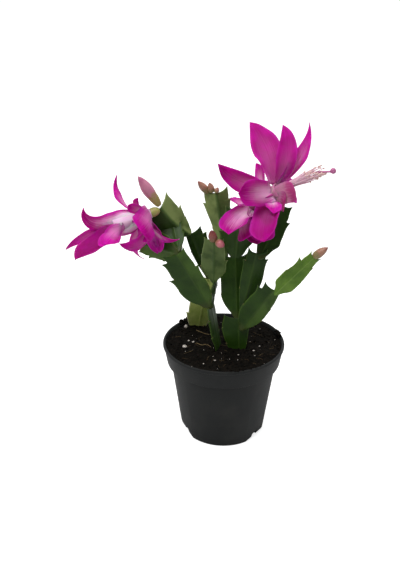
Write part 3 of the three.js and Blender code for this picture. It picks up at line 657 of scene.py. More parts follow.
def teeth_of(segment, side):
    """The teeth on one side of a segment, each with its place and its bite."""
    bite = segment.get("bite", USUAL_BITE)
    teeth = segment.get("left_teeth", LEFT_TEETH) if side < 0 else segment.get("right_teeth", RIGHT_TEETH)
    return [tooth if isinstance(tooth, tuple) else (tooth, bite) for tooth in teeth]


def toothed_width(segment, side, t):
    """The half width at t with its teeth, as a share, and how far the margin leans towards the tip there."""
    peak, taper = segment.get("peak", 0.5), segment.get("taper", 0.22)
    width = segment_girth(t, peak, taper, segment.get("base", USUAL_BASE))
    lean = 0.0
    for at, bite in teeth_of(segment, side):
        reach = tooth_reach(t, at)
        width += bite * reach
        lean += TOOTH_LEAN * bite * max(0.0, reach)
    if t > CLAWS_FROM:
        width += segment.get("bite", USUAL_BITE) * 0.4 * ((t - CLAWS_FROM) / (1 - CLAWS_FROM)) ** 2
    return width, lean


def segment_place(segment, t, across_share, ahead_share=None):
    """The middle surface of a segment and its normal: t runs to the tip, and the share goes across it."""
    start, end = Vector(segment["start"]), Vector(segment["end"])
    along = end - start
    length = along.length
    along.normalize()
    facet = (Vector((0, -1, 0)) + along * along.y).normalized()
    rightward = along.cross(facet)
    turn = math.radians(segment.get("facing", 0))
    out = facet * math.cos(turn) + rightward * math.sin(turn)
    across = along.cross(out)
    left, right = segment["halves"]
    sideways = across_share * (left if across_share < 0 else right)
    bow = 4 * t * (1 - t)
    fold = math.radians(segment.get("fold", 0))
    point = start + along * (length * (t if ahead_share is None else ahead_share))
    point += out * (-abs(sideways) * math.sin(fold))
    point += across * (segment.get("sway", 0) * bow + sideways * math.cos(fold))
    tilt = math.copysign(fold, across_share) if abs(across_share) > 0.06 else fold * across_share / 0.06
    normal = (out * math.cos(tilt) + across * math.sin(tilt)).normalized()
    return point, normal


def segment_mesh(segment, seed):
    """The whole segment as a fine closed sheet, with its rib, its teeth and a slight wave in its blade."""
    neck = segment.get("neck", USUAL_NECK)
    lit_wings = segment.get("lit_wings", (0, 0))
    draw = random.Random(seed)
    phases = [draw.random() * 6.28 for _ in range(4)]
    marks = {i / SEGMENT_ROWS for i in range(SEGMENT_ROWS + 1)} | {0.003, 0.997}
    sink = FOOT_SINK / (Vector(segment["end"]) - Vector(segment["start"])).length
    roundness = 0.5 * (segment.get("base", USUAL_BASE) - USUAL_BASE)
    round_run = max(0.17, 2.6 * roundness)
    for at, _ in teeth_of(segment, -1) + teeth_of(segment, 1):
        tip = at + TOOTH_TIP
        marks |= {tip, tip + TOOTH_DROP}
    skin = new_skin()
    grid = []
    for t in sorted(mark for mark in marks if mark <= 1):
        neckness = max(0.0, 1 - t * 5) ** 1.5
        ends = min(1.0, 0.35 + 60 * t, 0.35 + 90 * (1 - t))
        row = []
        for side in (-1, 1):
            width, lean = toothed_width(segment, side, t)
            half_width = width * segment["halves"][0 if side < 0 else 1]
            columns = HALF_COLUMNS[::-1] if side < 0 else HALF_COLUMNS[1:]
            claw = CLAW_CURL * max(0.0, (t - 0.86) / 0.14) ** 2
            for column in columns:
                share = side * column
                ahead = t + lean * column**4 + claw * column**3 - sink * max(0.0, 1 - t * 12) ** 2
                ahead += roundness * max(0.0, 1 - t / round_run) ** 2 * column**2
                point, normal = segment_place(segment, t, share * width, ahead)
                wave = math.sin(9 * t + phases[0] + side) * 0.45 + math.sin(17 * t + phases[1] * side) * 0.25
                point = point + normal * (wave * column**2 * (1 - neckness) * min(1, half_width / 6))
                blade = BLADE_HALF + BLADE_SWELL * (1 - column**2)
                rib = RIB_HALF * math.exp(-((column * half_width / RIB_REACH) ** 2)) * (1 - 0.35 * t)
                stalk = neck / 2 * math.sqrt(1 - 0.9 * column**2)
                rim = 1.0 if column <= 0.94 else mix(1.0, RIM_SHARE, (column - 0.94) / 0.06)
                half = mix(blade + rib, stalk, neckness) * rim * ends
                # Painted light: a wing that faces the lamp carries a tone that the stem skin paints lighter.
                pale = (lit_wings[0] if side < 0 else lit_wings[1]) * min(1.0, column * 8)
                row.append((point, normal, half, (0.5 + share / 2, t), pale))
        grid.append(row)
    add_sheet(skin, grid)
    return skin_mesh(segment["name"], skin)


def blade_place_group():
    """A node group that reads where a point lies on a blade: how far from its middle and how far along."""
    group = bpy.data.node_groups.new("Place on the blade", "ShaderNodeTree")
    for name in ("Across", "Along"):
        group.interface.new_socket(name, in_out="OUTPUT", socket_type="NodeSocketFloat")
    form = group.nodes.new("ShaderNodeUVMap")
    form.uv_map = "Form"
    parts = group.nodes.new("ShaderNodeSeparateXYZ")
    group.links.new(form.outputs["UV"], parts.inputs["Vector"])
    across = calculate(group, "ABSOLUTE", calculate(group, "MULTIPLY_ADD", parts.outputs["X"], 2, -1))
    output = group.nodes.new("NodeGroupOutput")
    group.links.new(across, output.inputs["Across"])
    group.links.new(parts.outputs["Y"], output.inputs["Along"])
    return group


blade_place_nodes = blade_place_group()


def place_on_blade(tree):
    """How far across and how far along, in a material."""
    made = use_group(tree, blade_place_nodes)
    return made["Across"], made["Along"]


def stem_material(name, dark, light, rib, edge, foot=None, rib_highlight_share=0.3, edge_share=0.35):
    """Waxy stem skin: a mottled green with a pale rib line that is a painted highlight, wings that are
    painted lighter where they face the lamp, a thin bright edge and a faint pattern of cells.
    """
    material, tree, shader = new_material(name, 0.44, 0.2)
    across, along = place_on_blade(tree)
    mottle = grain(tree, 85, 3)
    fine = grain(tree, 520, 4)
    share = calculate(tree, "ADD", rise(tree, mottle, 0.2, 0.82), calculate(tree, "MULTIPLY", fine, 0.3))
    colour = blend_colours(tree, calculate(tree, "SUBTRACT", share, 0.15), dark, light)
    # Painted light: the tone that a lit wing carries paints it lighter, towards the edge colour, in mottled
    # patches.
    pale = calculate(tree, "MULTIPLY", own_tone(tree), rise(tree, mottle, 0.1, 0.6))
    colour = blend_colours(tree, pale, colour, edge)
    # Painted highlight: a paler line along the rib, where its ridge catches the light.
    rib_highlight = rise(tree, calculate(tree, "SUBTRACT", 1.0, across), 0.9, 0.985)
    colour = blend_colours(tree, calculate(tree, "MULTIPLY", rib_highlight, rib_highlight_share), colour, rib)
    uneven = calculate(tree, "MULTIPLY", fine, 0.09)
    edge_line = rise(tree, calculate(tree, "ADD", across, uneven), 0.93, 1.03)
    colour = blend_colours(tree, calculate(tree, "MULTIPLY", edge_line, edge_share), colour, edge)
    if foot:
        colour = blend_colours(tree, rise(tree, along, 0.16, 0.0), colour, foot)
    tree.links.new(colour, shader.inputs["Base Color"])
    tree.links.new(calculate(tree, "MULTIPLY_ADD", fine, 0.2, 0.3), shader.inputs["Roughness"])
    cells = grain(tree, 2400, 3)
    height = calculate(tree, "ADD", cells, calculate(tree, "MULTIPLY", fine, 2.0))
    raise_surface(tree, shader, height, 0.05)
    return material


stems = {
    "old_stem": stem_material(
        "old stem", dark=paint(29, 54, 10), light=paint(46, 74, 18), rib=paint(74, 98, 38),
        edge=paint(96, 126, 52), foot=paint(60, 70, 30),
    ),
    "pale_stem": stem_material(
        "pale stem", dark=paint(41, 65, 22), light=paint(55, 82, 31), rib=paint(88, 112, 56),
        edge=paint(136, 152, 92),
    ),
    "young_stem": stem_material(
        "young stem", dark=paint(76, 112, 34), light=paint(112, 146, 56), rib=paint(126, 158, 74),
        edge=paint(148, 180, 80), rib_highlight_share=0.5, edge_share=0.6,
    ),
    # The yellow-green stem is painted far lighter than its own green, edge too: painted light on a segment
    # that lies in shade at the back.
    "yellow_stem": stem_material(
        "yellow-green stem, painted lit", dark=paint(150, 172, 80), light=paint(196, 208, 122), rib=paint(200, 210, 128),
        edge=paint(250, 248, 214), rib_highlight_share=0.5, edge_share=0.8,
    ),
}

# Each runs from its joint to its tip. Halves are its widths to the left and right of its rib, base is the
# share of them that it has at its foot, peak is where it is widest, and taper what it loses by the tip.
# Facing turns its flat side from the viewer to the right, fold lays its wings back from the rib, sway bends
# it sideways, neck is how thick its stalk is, and the lit wings value says how much lighter each wing is
# painted: painted light on a wing that faces the lamp. A tooth is given by its place along the edge, and one
# with a second number has that bite.
SEGMENTS = [
    # The cutting at the front left
    dict(name="front_left_segment_1", start=(-2, -8, 60), end=(-9.7, -9, 104.8), halves=(8.5, 8.5),
         facing=76),
    dict(name="front_left_segment_2", start=(-10.3, -9.2, 105.4), end=(-32.8, -12, 146.5), halves=(13.8, 8),
         facing=-6, peak=0.43, taper=0.3, base=0.36, lit_wings=(0, 0.3),
         left_teeth=[0.59, 0.88], right_teeth=[(0.3, 0), 0.66], bite=0.23),
    dict(name="front_left_segment_3", start=(-8.9, -8.6, 105.4), end=(-6.7, -5, 123.5), halves=(5.5, 5.5),
         facing=72),
    dict(name="front_left_segment_4", start=(-7.4, -6.4, 124), end=(-7.2, -20, 159.8), halves=(9.2, 8.2),
         facing=-8, peak=0.35, taper=0.3, lit_wings=(0.35, 0.35), stem="pale_stem",
         left_teeth=[(0.3, 0), (0.6, 0.06)], right_teeth=[(0.24, 0.04), 0.52]),
    dict(name="front_left_segment_5", start=(-32.2, -11, 146.9), end=(-59.4, 4, 148), halves=(9, 11),
         peak=0.4, base=0.4, lit_wings=(0.6, 0), left_teeth=[(0.35, 0.08), 0.72]),
    dict(name="front_left_segment_6", start=(-31.4, -10.6, 148.2), end=(-37.8, 6.2, 168.2), halves=(9, 5.6),
         peak=0.35, base=0.5, taper=0.1),
    # The cutting at the rear left
    dict(name="rear_left_segment_1", start=(-21, 29, 60), end=(-13, 15, 116.6), halves=(10, 7), peak=0.35,
         stem="yellow_stem", left_teeth=[0.36, 0.7], bite=0.16),
    dict(name="rear_left_segment_2", start=(-13, 15, 117.2), end=(-24.8, 5, 154.8), halves=(3.8, 10.5),
         facing=14, peak=0.7, left_teeth=[(0.3, 0.06), (0.62, 0.1)], right_teeth=[0.5, 0.85]),
    dict(name="rear_left_segment_3", start=(-25.4, 4, 155.4), end=(-44, -5, 177.2), halves=(14, 11.6),
         facing=18, fold=28, sway=-1.6, taper=0, base=0.3, lit_wings=(0, 0.75), stem="pale_stem",
         left_teeth=[(0.4, 0.1), 0.76], right_teeth=[(0.24, 0.05), 0.52]),
    # The cutting in the middle
    dict(name="centre_segment_1", start=(12, -10, 60), end=(10.4, -8, 95.9), halves=(12, 7.2), peak=0.85,
         neck=4.4, left_teeth=[(0.4, 0.05), (0.75, 0.05)], right_teeth=[(0.4, 0.05), (0.75, 0.05)]),
    dict(name="centre_segment_2", start=(9.4, -7, 96.1), end=(7.5, 4, 138.3), halves=(11, 9), peak=0.4,
         taper=0.12, left_teeth=[(0.36, 0.03), (0.68, 0.08)]),
    dict(name="centre_segment_3", start=(12.2, -9, 96.9), end=(21.3, -8, 146.5), halves=(6.8, 9.8), facing=8,
         fold=12, peak=0.7, left_teeth=[(0.4, 0.05), (0.82, 0.24)], right_teeth=[(0.45, 0.04), 0.86]),
    dict(name="centre_segment_4", start=(7.6, 4.6, 137.5), end=(9.8, 2, 174), halves=(12.2, 11), peak=0.3,
         base=0.66, stem="pale_stem"),
    dict(name="centre_segment_5", start=(0.6, 5.6, 138.9), end=(-6.5, 9, 183.6), halves=(10.6, 9.2), fold=30,
         peak=0.9, taper=0.08, lit_wings=(0.9, 0.4), stem="pale_stem",
         left_teeth=[(0.4, 0.04), 0.8], right_teeth=[(0.5, 0.06), 0.82]),
    dict(name="centre_segment_6", start=(24, -6.8, 142.4), end=(40, 10, 174.6), halves=(8.6, 9.2), peak=0.25,
         taper=0.4, base=0.65, right_teeth=[(0.3, 0.02), 0.72], bite=0.25),
    # The branch at the right of the middle cutting
    dict(name="right_segment_1", start=(12.8, -11.6, 89), end=(33.6, -15, 122.2), halves=(10.5, 8.2),
         peak=0.4, taper=0.35, lit_wings=(0, 0.4),
         left_teeth=[(0.4, 0.05), 0.86], right_teeth=[(0.3, 0.04), (0.6, 0.06)], bite=0.3),
    dict(name="right_segment_2", start=(35.2, -14.2, 118.8), end=(60, -16, 147.4), halves=(7, 7.4), peak=0.24,
         taper=0.5, base=0.4, stem="young_stem",
         left_teeth=[(0.45, 0.06), 0.76], right_teeth=[(0.45, 0.04), (0.78, 0.08)], bite=0.35),
]
for seed, segment in enumerate(SEGMENTS):
    stem = segment.get("stem", "old_stem")
    wear(segment_mesh(segment, seed), stems[stem], stem, segment["name"])


# Areoles
# The dots that bristles and buds grow from: tan felt with a few short bristles. One sits in the notch behind
# each tooth, and three sit along the tip of each segment.
FELT_RADIUS = 0.42
BRISTLES = 4
BRISTLE_RADII = [0.05, 0.04, 0.015]
TIP_SHARES = (-0.3, 0.05, 0.34)
felt = new_skin()
draw = random.Random(5)
for segment in SEGMENTS:
    spots = [(0.985, share) for share in TIP_SHARES]
    for side in (-1, 1):
        for at, _ in teeth_of(segment, side):
            t = at + TOOTH_TIP + TOOTH_DROP
            spots.append((t, side * toothed_width(segment, side, t)[0] * 0.985))
    for t, share in spots:
        point = segment_place(segment, t, share)[0]
        outward = (point - segment_place(segment, t - 0.12, share * 0.6)[0]).normalized()
        add_lump(felt, point, FELT_RADIUS, 0.4, draw, 0.2)
        for _ in range(BRISTLES):
            aim = (outward + Vector([draw.random() - 0.5 for _ in range(3)]) * 0.9).normalized()
            reach = 0.7 + 0.7 * draw.random()
            add_thread(felt, [point, point + aim * reach * 0.6, point + aim * reach], BRISTLE_RADII, 4, 0.8)
areoles = skin_mesh("areoles", felt)
felt_material, tree, shader = new_material("areole felt", 0.85, 0.2)
speck = calculate(tree, "MULTIPLY", grain(tree, 3000), own_tone(tree))
felt_colour = blend_colours(tree, speck, paint(112, 104, 62), paint(196, 178, 128))
tree.links.new(felt_colour, shader.inputs["Base Color"])
wear(areoles, felt_material, "old_stem")


# Flowers
# Each flower is a long tube of joined tepals on a bare ovary. Short outer tepals curl back from the foot of
# the tube, and long inner ones spread from its mouth: silky, near white at the root and magenta further out.
TUBE_START = 6.2
TEPAL_HALF = 0.36
TEPAL_ROOT_RADIUS = 3.0
TEPAL_ROWS = 30
TEPAL_COLUMNS = [-1, -0.99, -0.95, -0.84, -0.66, -0.45, -0.22, 0, 0.22, 0.45, 0.66, 0.84, 0.95, 0.99, 1]


def flower_frame(flower):
    """Ahead along the flower's axis, upwards across it, and to its left."""
    ahead = Vector(flower["direction"]).normalized()
    upwards = (Vector((0, 0, 1)) - ahead * ahead.z).normalized()
    return ahead, upwards, ahead.cross(upwards)


def tepal_girth(t, blunt, foot):
    """The half width along a tepal, as a share of its widest. A blunt one keeps its width for longer."""
    swell = foot + (1 - foot) * math.sin(min(1.0, t / 0.5) * math.pi / 2)
    return max(0.012, swell * (1 - max(0.0, (t - 0.5) / 0.5) ** blunt))


def add_tepal(skin, flower, tepal, draw):
    """One tepal, which leaves the tube at one angle, curls on to another and rolls its face as it goes."""
    ahead, upwards, leftwards = flower_frame(flower)
    azimuth = math.radians(tepal["azimuth"])
    outwards = upwards * math.cos(azimuth) + leftwards * math.sin(azimuth)
    across = ahead.cross(outwards)
    root, length, width = tepal["root"], tepal["length"], tepal["width"]
    leave, end = math.radians(tepal["leave"]), math.radians(tepal["end"])
    roll, blunt = math.radians(tepal.get("roll", 0)), tepal.get("blunt", 1.8)
    late, sway = tepal.get("late", 1.3), tepal.get("sway", 0)
    crease, cup, foot = tepal.get("crease", 0), tepal.get("cup", 0.12), tepal.get("foot", 0.45)
    at = Vector(flower["start"]) + ahead * root + outwards * (TEPAL_ROOT_RADIUS + root * 0.05)
    phases = [draw.random() * 6.28 for _ in range(4)]
    tone = tepal.get("pale", 0.3)
    grid = []
    for i in range(TEPAL_ROWS + 1):
        t = i / TEPAL_ROWS
        angle = leave + (end - leave) * t**late
        flat = outwards * math.cos(angle) - ahead * math.sin(angle)
        rolled = roll * min(1.0, t / 0.4)
        out = flat * math.cos(rolled) - across * math.sin(rolled)
        wide = across * math.cos(rolled) + flat * math.sin(rolled)
        half_width = tepal_girth(t, blunt, foot) * width / 2
        jag = [1 + 0.05 * math.sin(7 * t + phases[2]), 1 + 0.05 * math.sin(9 * t + phases[3])]
        row = []
        for share in TEPAL_COLUMNS:
            side = abs(share)
            hollow = half_width * (0.1 * side + cup * side * side)
            ruffle = math.sin(11 * t + phases[0] + share * 1.3) * 0.5
            ruffle += math.sin(23 * t + phases[1] * share) * 0.22
            lift = ruffle * side**2 * min(1.0, half_width / 5) * min(1.0, t * 3)
            folded = crease * half_width * side * min(1.0, t * 3)
            reach = share * half_width * jag[share > 0]
            point = at + wide * (reach + sway * t * t) + out * (lift - hollow - folded)
            half = TEPAL_HALF * (1 - 0.45 * side**2) * (1 - 0.3 * t)
            if side > 0.9:
                half *= mix(1.0, 0.3, (side - 0.9) / 0.1)
            row.append((point, out, half, (0.5 + share / 2, t), tone))
        grid.append(row)
        between = leave + (end - leave) * min(1.0, (i + 0.5) / TEPAL_ROWS) ** late
        at = at + (ahead * math.cos(between) + outwards * math.sin(between)) * (length / TEPAL_ROWS)
    add_sheet(skin, grid)


def add_tube(skin, flower, profile, sides=40, tone=0.0):
    """A closed profile of (radius, distance along, place along the tepals), turned round a flower's axis."""
    ahead, upwards, leftwards = flower_frame(flower)
    first = len(skin["points"])
    for radius, along, form in profile:
        for k in range(sides):
            turn = 2 * math.pi * k / sides
            crease = 1 + 0.035 * math.cos(5 * turn) * min(1.0, along / 14)
            offset = (upwards * math.cos(turn) + leftwards * math.sin(turn)) * radius * crease
            skin["points"].append(tuple(Vector(flower["start"]) + ahead * along + offset))
            skin["form"].append((0.5, form))
            skin["tone"].append(tone)
    join_rings(skin, first, len(profile), sides, closed=True)


# Each flower starts at its ovary's foot. Its stigma and its stamens are placed along its axis from there or
# from its mouth, above the axis and to its left. A tepal leaves the tube at root, on the side that its
# azimuth gives, counted from the top to the left. It turns from the angle leave to the angle end off the
# axis, and late says how late it turns. Roll turns its face aside, sway bends it sideways, and blunt, foot,
# cup and crease shape its outline and its hollow. Pale is how much of it is white pink: partly its own white
# root and heart, and partly painted light on tepals that lie in shade. A pale near 0 paints shade as a deeper
# magenta, and 4 marks the throat, which is painted darker for the shade inside the tube.
FLOWERS = [
    dict(
        name="left_flower", start=(-44.6, -6.8, 176.4), direction=(-0.92, -0.27, -0.285), tube=26, seed=31,
        tube_tone=1.0,
        stigma=dict(along=52, height=-5, left=2, arch=0),
        stamens=dict(count=18, reach=12, height=-3, left=1, spread=2.6),
        # The short outer ones first, then the long inner ones from the mouth of the tube
        tepals=[
            dict(root=16, azimuth=30, leave=54, end=128, length=31, width=7, roll=40, blunt=1.5, pale=0.5),
            dict(root=8, azimuth=-42, leave=43, end=79, length=22, width=7, roll=60, blunt=3, pale=0.6),
            dict(root=10, azimuth=-18, leave=43, end=141, length=14, width=6, roll=-32, blunt=2.5, pale=0.5),
            dict(root=7, azimuth=-96, leave=64, end=44, length=19, width=20, roll=-24, blunt=6, foot=0.85,
                 pale=0.35),
            dict(root=8, azimuth=-151, leave=41, end=80, length=17, width=12, roll=47, blunt=4, sway=0.7,
                 pale=0.8),
            dict(root=8, azimuth=176, leave=74, end=98, length=28, width=10, roll=54, blunt=2.5),
            dict(root=8, azimuth=-159, leave=75, end=-56, length=36, width=13, roll=-39, blunt=2.5, sway=2.5,
                 pale=0.4),
            dict(root=8, azimuth=152, leave=35, end=126, length=49, width=7, roll=34, pale=0.5),
            dict(root=8, azimuth=190, leave=103, end=77, length=26, width=12, roll=35, blunt=4, sway=-3.9),
            dict(root=8, azimuth=-158, leave=80, end=185, length=28, width=5, roll=46, pale=0.6),
            dict(root=8, azimuth=95, leave=40, end=110, length=22, width=10, pale=0.1),
            dict(root=12, azimuth=26, leave=-5, end=-32, length=14, width=9, roll=54, sway=5, pale=0.8),
            dict(root=13, azimuth=-5, leave=-4, end=128, length=43, width=15, roll=85, blunt=1.6, late=3,
                 sway=-3, foot=0.6, pale=2.2),
            dict(root=13, azimuth=-142, leave=15, end=-49, length=27, width=12, roll=-39, blunt=2.2,
                 sway=-0.9, pale=2.2),
            dict(root=29, azimuth=-99, leave=0, end=63, length=41, width=14, roll=-68, pale=0),
            dict(root=28, azimuth=124, leave=-27, end=68, length=48, width=8, roll=-22, blunt=1.6, pale=0.1),
            dict(root=26, azimuth=-94, leave=7, end=108, length=26, width=11, roll=-85, blunt=2.2, sway=3.5),
            dict(root=28, azimuth=-93, leave=34, end=76, length=23, width=13, roll=-66, blunt=2.5, pale=0.4),
            dict(root=29, azimuth=76, leave=10, end=70, length=24, width=12, pale=0.6),
        ],
    ),
    dict(
        name="right_flower", start=(9.8, 2, 174.4), direction=(0.741, -0.401, 0.538), tube=27, seed=57,
        tube_tone=4,
        stigma=dict(along=73, height=-4, left=0, arch=3.5),
        stamens=dict(count=56, reach=31, height=0, left=0, spread=3.8),
        # The three upright ones and the wing at the left, the rounded ones that hang in front, the ones round
        # the throat, the small ones at the foot of the tube, and those at the back
        tepals=[
            dict(root=31, azimuth=-24, leave=84, end=119, length=51, width=20, roll=40, blunt=1.9, sway=-1.7,
                 crease=0.2, foot=0.95, pale=0.15),
            dict(root=31, azimuth=-27, leave=35, end=106, length=43, width=13, roll=51, blunt=2.1,
                 crease=0.15, pale=0.15),
            dict(root=31, azimuth=-47, leave=29, end=98, length=52, width=9, roll=29, blunt=1.0, late=1.6,
                 pale=0.45),
            dict(root=30, azimuth=49, leave=120, end=65, length=48, width=13, roll=36, blunt=1.8, pale=0.4),
            dict(root=30, azimuth=72, leave=99, end=97, length=31, width=17, roll=26, blunt=5, foot=0.85,
                 pale=0.8),
            dict(root=30, azimuth=126, leave=108, end=83, length=36, width=18, roll=-67, blunt=6, cup=0.4,
                 pale=0.12),
            dict(root=14, azimuth=172, leave=102, end=121, length=24, width=17, roll=-41, blunt=6, cup=0.35,
                 pale=0.15),
            dict(root=9, azimuth=165, leave=100, end=108, length=24, width=14, roll=-50, blunt=5, cup=0.3,
                 pale=0.05),
            dict(root=9, azimuth=110, leave=115, end=69, length=30, width=17, roll=-53, blunt=5, sway=-3.2,
                 cup=0.4, pale=1),
            dict(root=9, azimuth=135, leave=133, end=84, length=26, width=15, roll=85, blunt=4, sway=-4,
                 cup=0.3, pale=0.9),
            dict(root=27, azimuth=135, leave=-2, end=22, length=20, width=14, roll=50, blunt=6, foot=0.8,
                 pale=4),
            dict(root=26, azimuth=150, leave=22, end=48, length=12, width=14, roll=60, blunt=6, foot=0.8,
                 pale=4),
            dict(root=25, azimuth=118, leave=48, end=92, length=20, width=10, roll=-47, blunt=4, sway=0.8,
                 pale=1),
            dict(root=16, azimuth=-42, leave=70, end=119, length=28, width=7, roll=70, blunt=2.5, pale=0.8),
            dict(root=8, azimuth=58, leave=114, end=73, length=15, width=9, roll=-26, pale=0.7),
            dict(root=31, azimuth=-110, leave=55, end=120, length=15, width=18, blunt=4, pale=0.8),
            dict(root=9, azimuth=-75, leave=60, end=130, length=20, width=12, pale=0.5),
            dict(root=9, azimuth=-130, leave=70, end=140, length=20, width=12, pale=0.5),
        ],
    ),
]

# The tepals' silk: white pink at the root, then magenta, deepest in the middle of each tepal, with fine
# lengthwise veins. The white pink heart is partly painted light on tepals that lie in shade, the deeper
# magenta of the least pale tepals is painted shade, and so is the dusky rose of the throat.
silk, tree, shader = new_material("magenta tepal", 0.5, 0.06)
across, along = place_on_blade(tree)
own_pale = own_tone(tree)
cloud = grain(tree, 110, 3)
form = tree.nodes.new("ShaderNodeUVMap")
form.uv_map = "Form"
lengthwise = node(tree, "Mapping", Vector=form.outputs["UV"], Scale=(26, 1.6, 1)).outputs["Vector"]
veins = node(tree, "TexNoise", Vector=lengthwise, Scale=1.0, Detail=3.0).outputs["Fac"]
vein_drift = calculate(tree, "MULTIPLY", veins, 0.45)
drift = calculate(tree, "ADD", calculate(tree, "MULTIPLY", cloud, 0.35), vein_drift)
far = calculate(tree, "ADD", along, calculate(tree, "SUBTRACT", drift, 0.4))
body = blend_colours(tree, rise(tree, cloud, 0.3, 0.7), paint(166, 0, 128), paint(194, 12, 156))
# Painted shade: tepals with the least pale are darkened towards a deeper magenta, as shade on them.
shade_share = calculate(tree, "MULTIPLY_ADD", rise(tree, own_pale, 0.0, 0.25), -0.75, 0.75)
body = blend_colours(tree, shade_share, body, paint(120, 0, 86))
vein_line = calculate(tree, "MULTIPLY", rise(tree, veins, 0.5, 0.7), 0.45)
colour = blend_colours(tree, vein_line, body, paint(146, 2, 98))
pale_edge = calculate(tree, "MULTIPLY", rise(tree, across, 0.7, 1.0), 0.15)
colour = blend_colours(tree, pale_edge, colour, paint(216, 90, 182))
throat = rise(tree, own_pale, 3.2, 3.6)
# Partly painted light: the white pink heart and root follow the tepal's pale, which also lightens tepals that
# lie in shade.
heart = calculate(tree, "SUBTRACT", 1.0, rise(tree, across, 0.15, 0.95))
heart = calculate(tree, "MAXIMUM", heart, throat)
near = calculate(tree, "SUBTRACT", 1.0, rise(tree, far, 0.2, 0.85))
glow = calculate(tree, "MULTIPLY", calculate(tree, "MULTIPLY", heart, near), own_pale)
root = calculate(tree, "SUBTRACT", 1.0, rise(tree, far, -0.04, 0.2))
root = calculate(tree, "MULTIPLY", root, calculate(tree, "MULTIPLY_ADD", own_pale, 0.75, 0.25))
pale = calculate(tree, "MULTIPLY", calculate(tree, "MAXIMUM", glow, root), 0.95)
colour = blend_colours(tree, pale, colour, paint(240, 186, 218))
colour = blend_colours(tree, rise(tree, glow, 0.8, 1.5), colour, paint(249, 218, 236))
# Painted shade: the throat tepals are darkened to a dusky rose for the shade inside the tube, streaked along
# the veins.
throat_shade = calculate(tree, "MULTIPLY", throat, calculate(tree, "MULTIPLY_ADD", veins, 0.5, 0.5))
colour = blend_colours(tree, throat_shade, colour, paint(166, 76, 116))
tree.links.new(colour, shader.inputs["Base Color"])
raise_surface(tree, shader, veins, 0.16)
shader.inputs["Subsurface Weight"].default_value = 0.6
shader.inputs["Subsurface Radius"].default_value = (1.0, 0.2, 0.7)
shader.inputs["Subsurface Scale"].default_value = 2.2 * MM

for flower in FLOWERS:
    petals = new_skin()
    draw = random.Random(flower["seed"])
    mouth = TUBE_START + flower["tube"]
    middle = TUBE_START + flower["tube"] * 0.5
    tube_profile = [
        (2.6, TUBE_START, 0.16), (3.3, TUBE_START, 0.16), (3.5, TUBE_START + 3, 0.12), (3.9, middle, 0.05),
        (4.4, mouth - 5, 0.03), (5.0, mouth, 0.05), (4.6, mouth + 0.1, 0.05), (4.2, mouth - 0.5, 0.04),
        (3.3, middle, 0.03), (2.6, TUBE_START + 3, 0.1),
    ]
    add_tube(petals, flower, tube_profile, tone=flower["tube_tone"])
    for tepal in flower["tepals"]:
        add_tepal(petals, flower, tepal, draw)
    name = flower["name"] + "_tepals"
    wear(skin_mesh(name, petals), silk, "tepal", name)


# Ovaries
# The smooth green-yellow knob that a flower stands on. It grows out of the tip of its segment and is flushed
# pink where the tube begins.
OVARY_LENGTH = 7.0
ovary_skin, tree, shader = new_material("ovary", 0.4, 0.5)
flush = rise(tree, grain(tree, 240, 3), 0.4, 0.65)
ovary_colour = blend_colours(tree, flush, paint(158, 158, 84), paint(176, 128, 96))
tree.links.new(ovary_colour, shader.inputs["Base Color"])
for flower in FLOWERS:
    knob = new_skin()
    knob_profile = [
        (0.02, 0, 0), (1.2, 0, 0), (1.7, 0.4, 0), (2.5, 1.5, 0.2), (3.0, 2.8, 0.4), (3.3, 4.4, 0.6),
        (3.1, 5.8, 0.8), (2.6, OVARY_LENGTH, 1), (0.02, OVARY_LENGTH, 1),
    ]
    add_tube(knob, flower, knob_profile, 28)
    name = flower["name"] + "_ovary"
    wear(skin_mesh(name, knob), ovary_skin, "ovary", name)


# Styles and stamens
# The style is a rose pink thread that grows from the ovary through the tube and ends in a stigma of close
# lobes. The stamens are finer white threads round it, each with a cream anther at its tip.
STYLE_RADIUS = 0.75
STIGMA_LOBES = 6
LOBE_RADII = [0.45, 0.6, 0.7, 0.78, 0.84, 0.84, 0.8, 0.7, 0.5, 0.2]
STAMENS_FROM = 19.7
STAMEN_RADIUS = 0.3
STAMEN_TIP_RADIUS = 0.18
ANTHER_RADII = [0.2, 0.48, 0.56, 0.46, 0.15]


def flower_place(flower, along, height, left):
    """A place in a flower's frame."""
    ahead, upwards, leftwards = flower_frame(flower)
    return Vector(flower["start"]) + ahead * along + upwards * height + leftwards * left


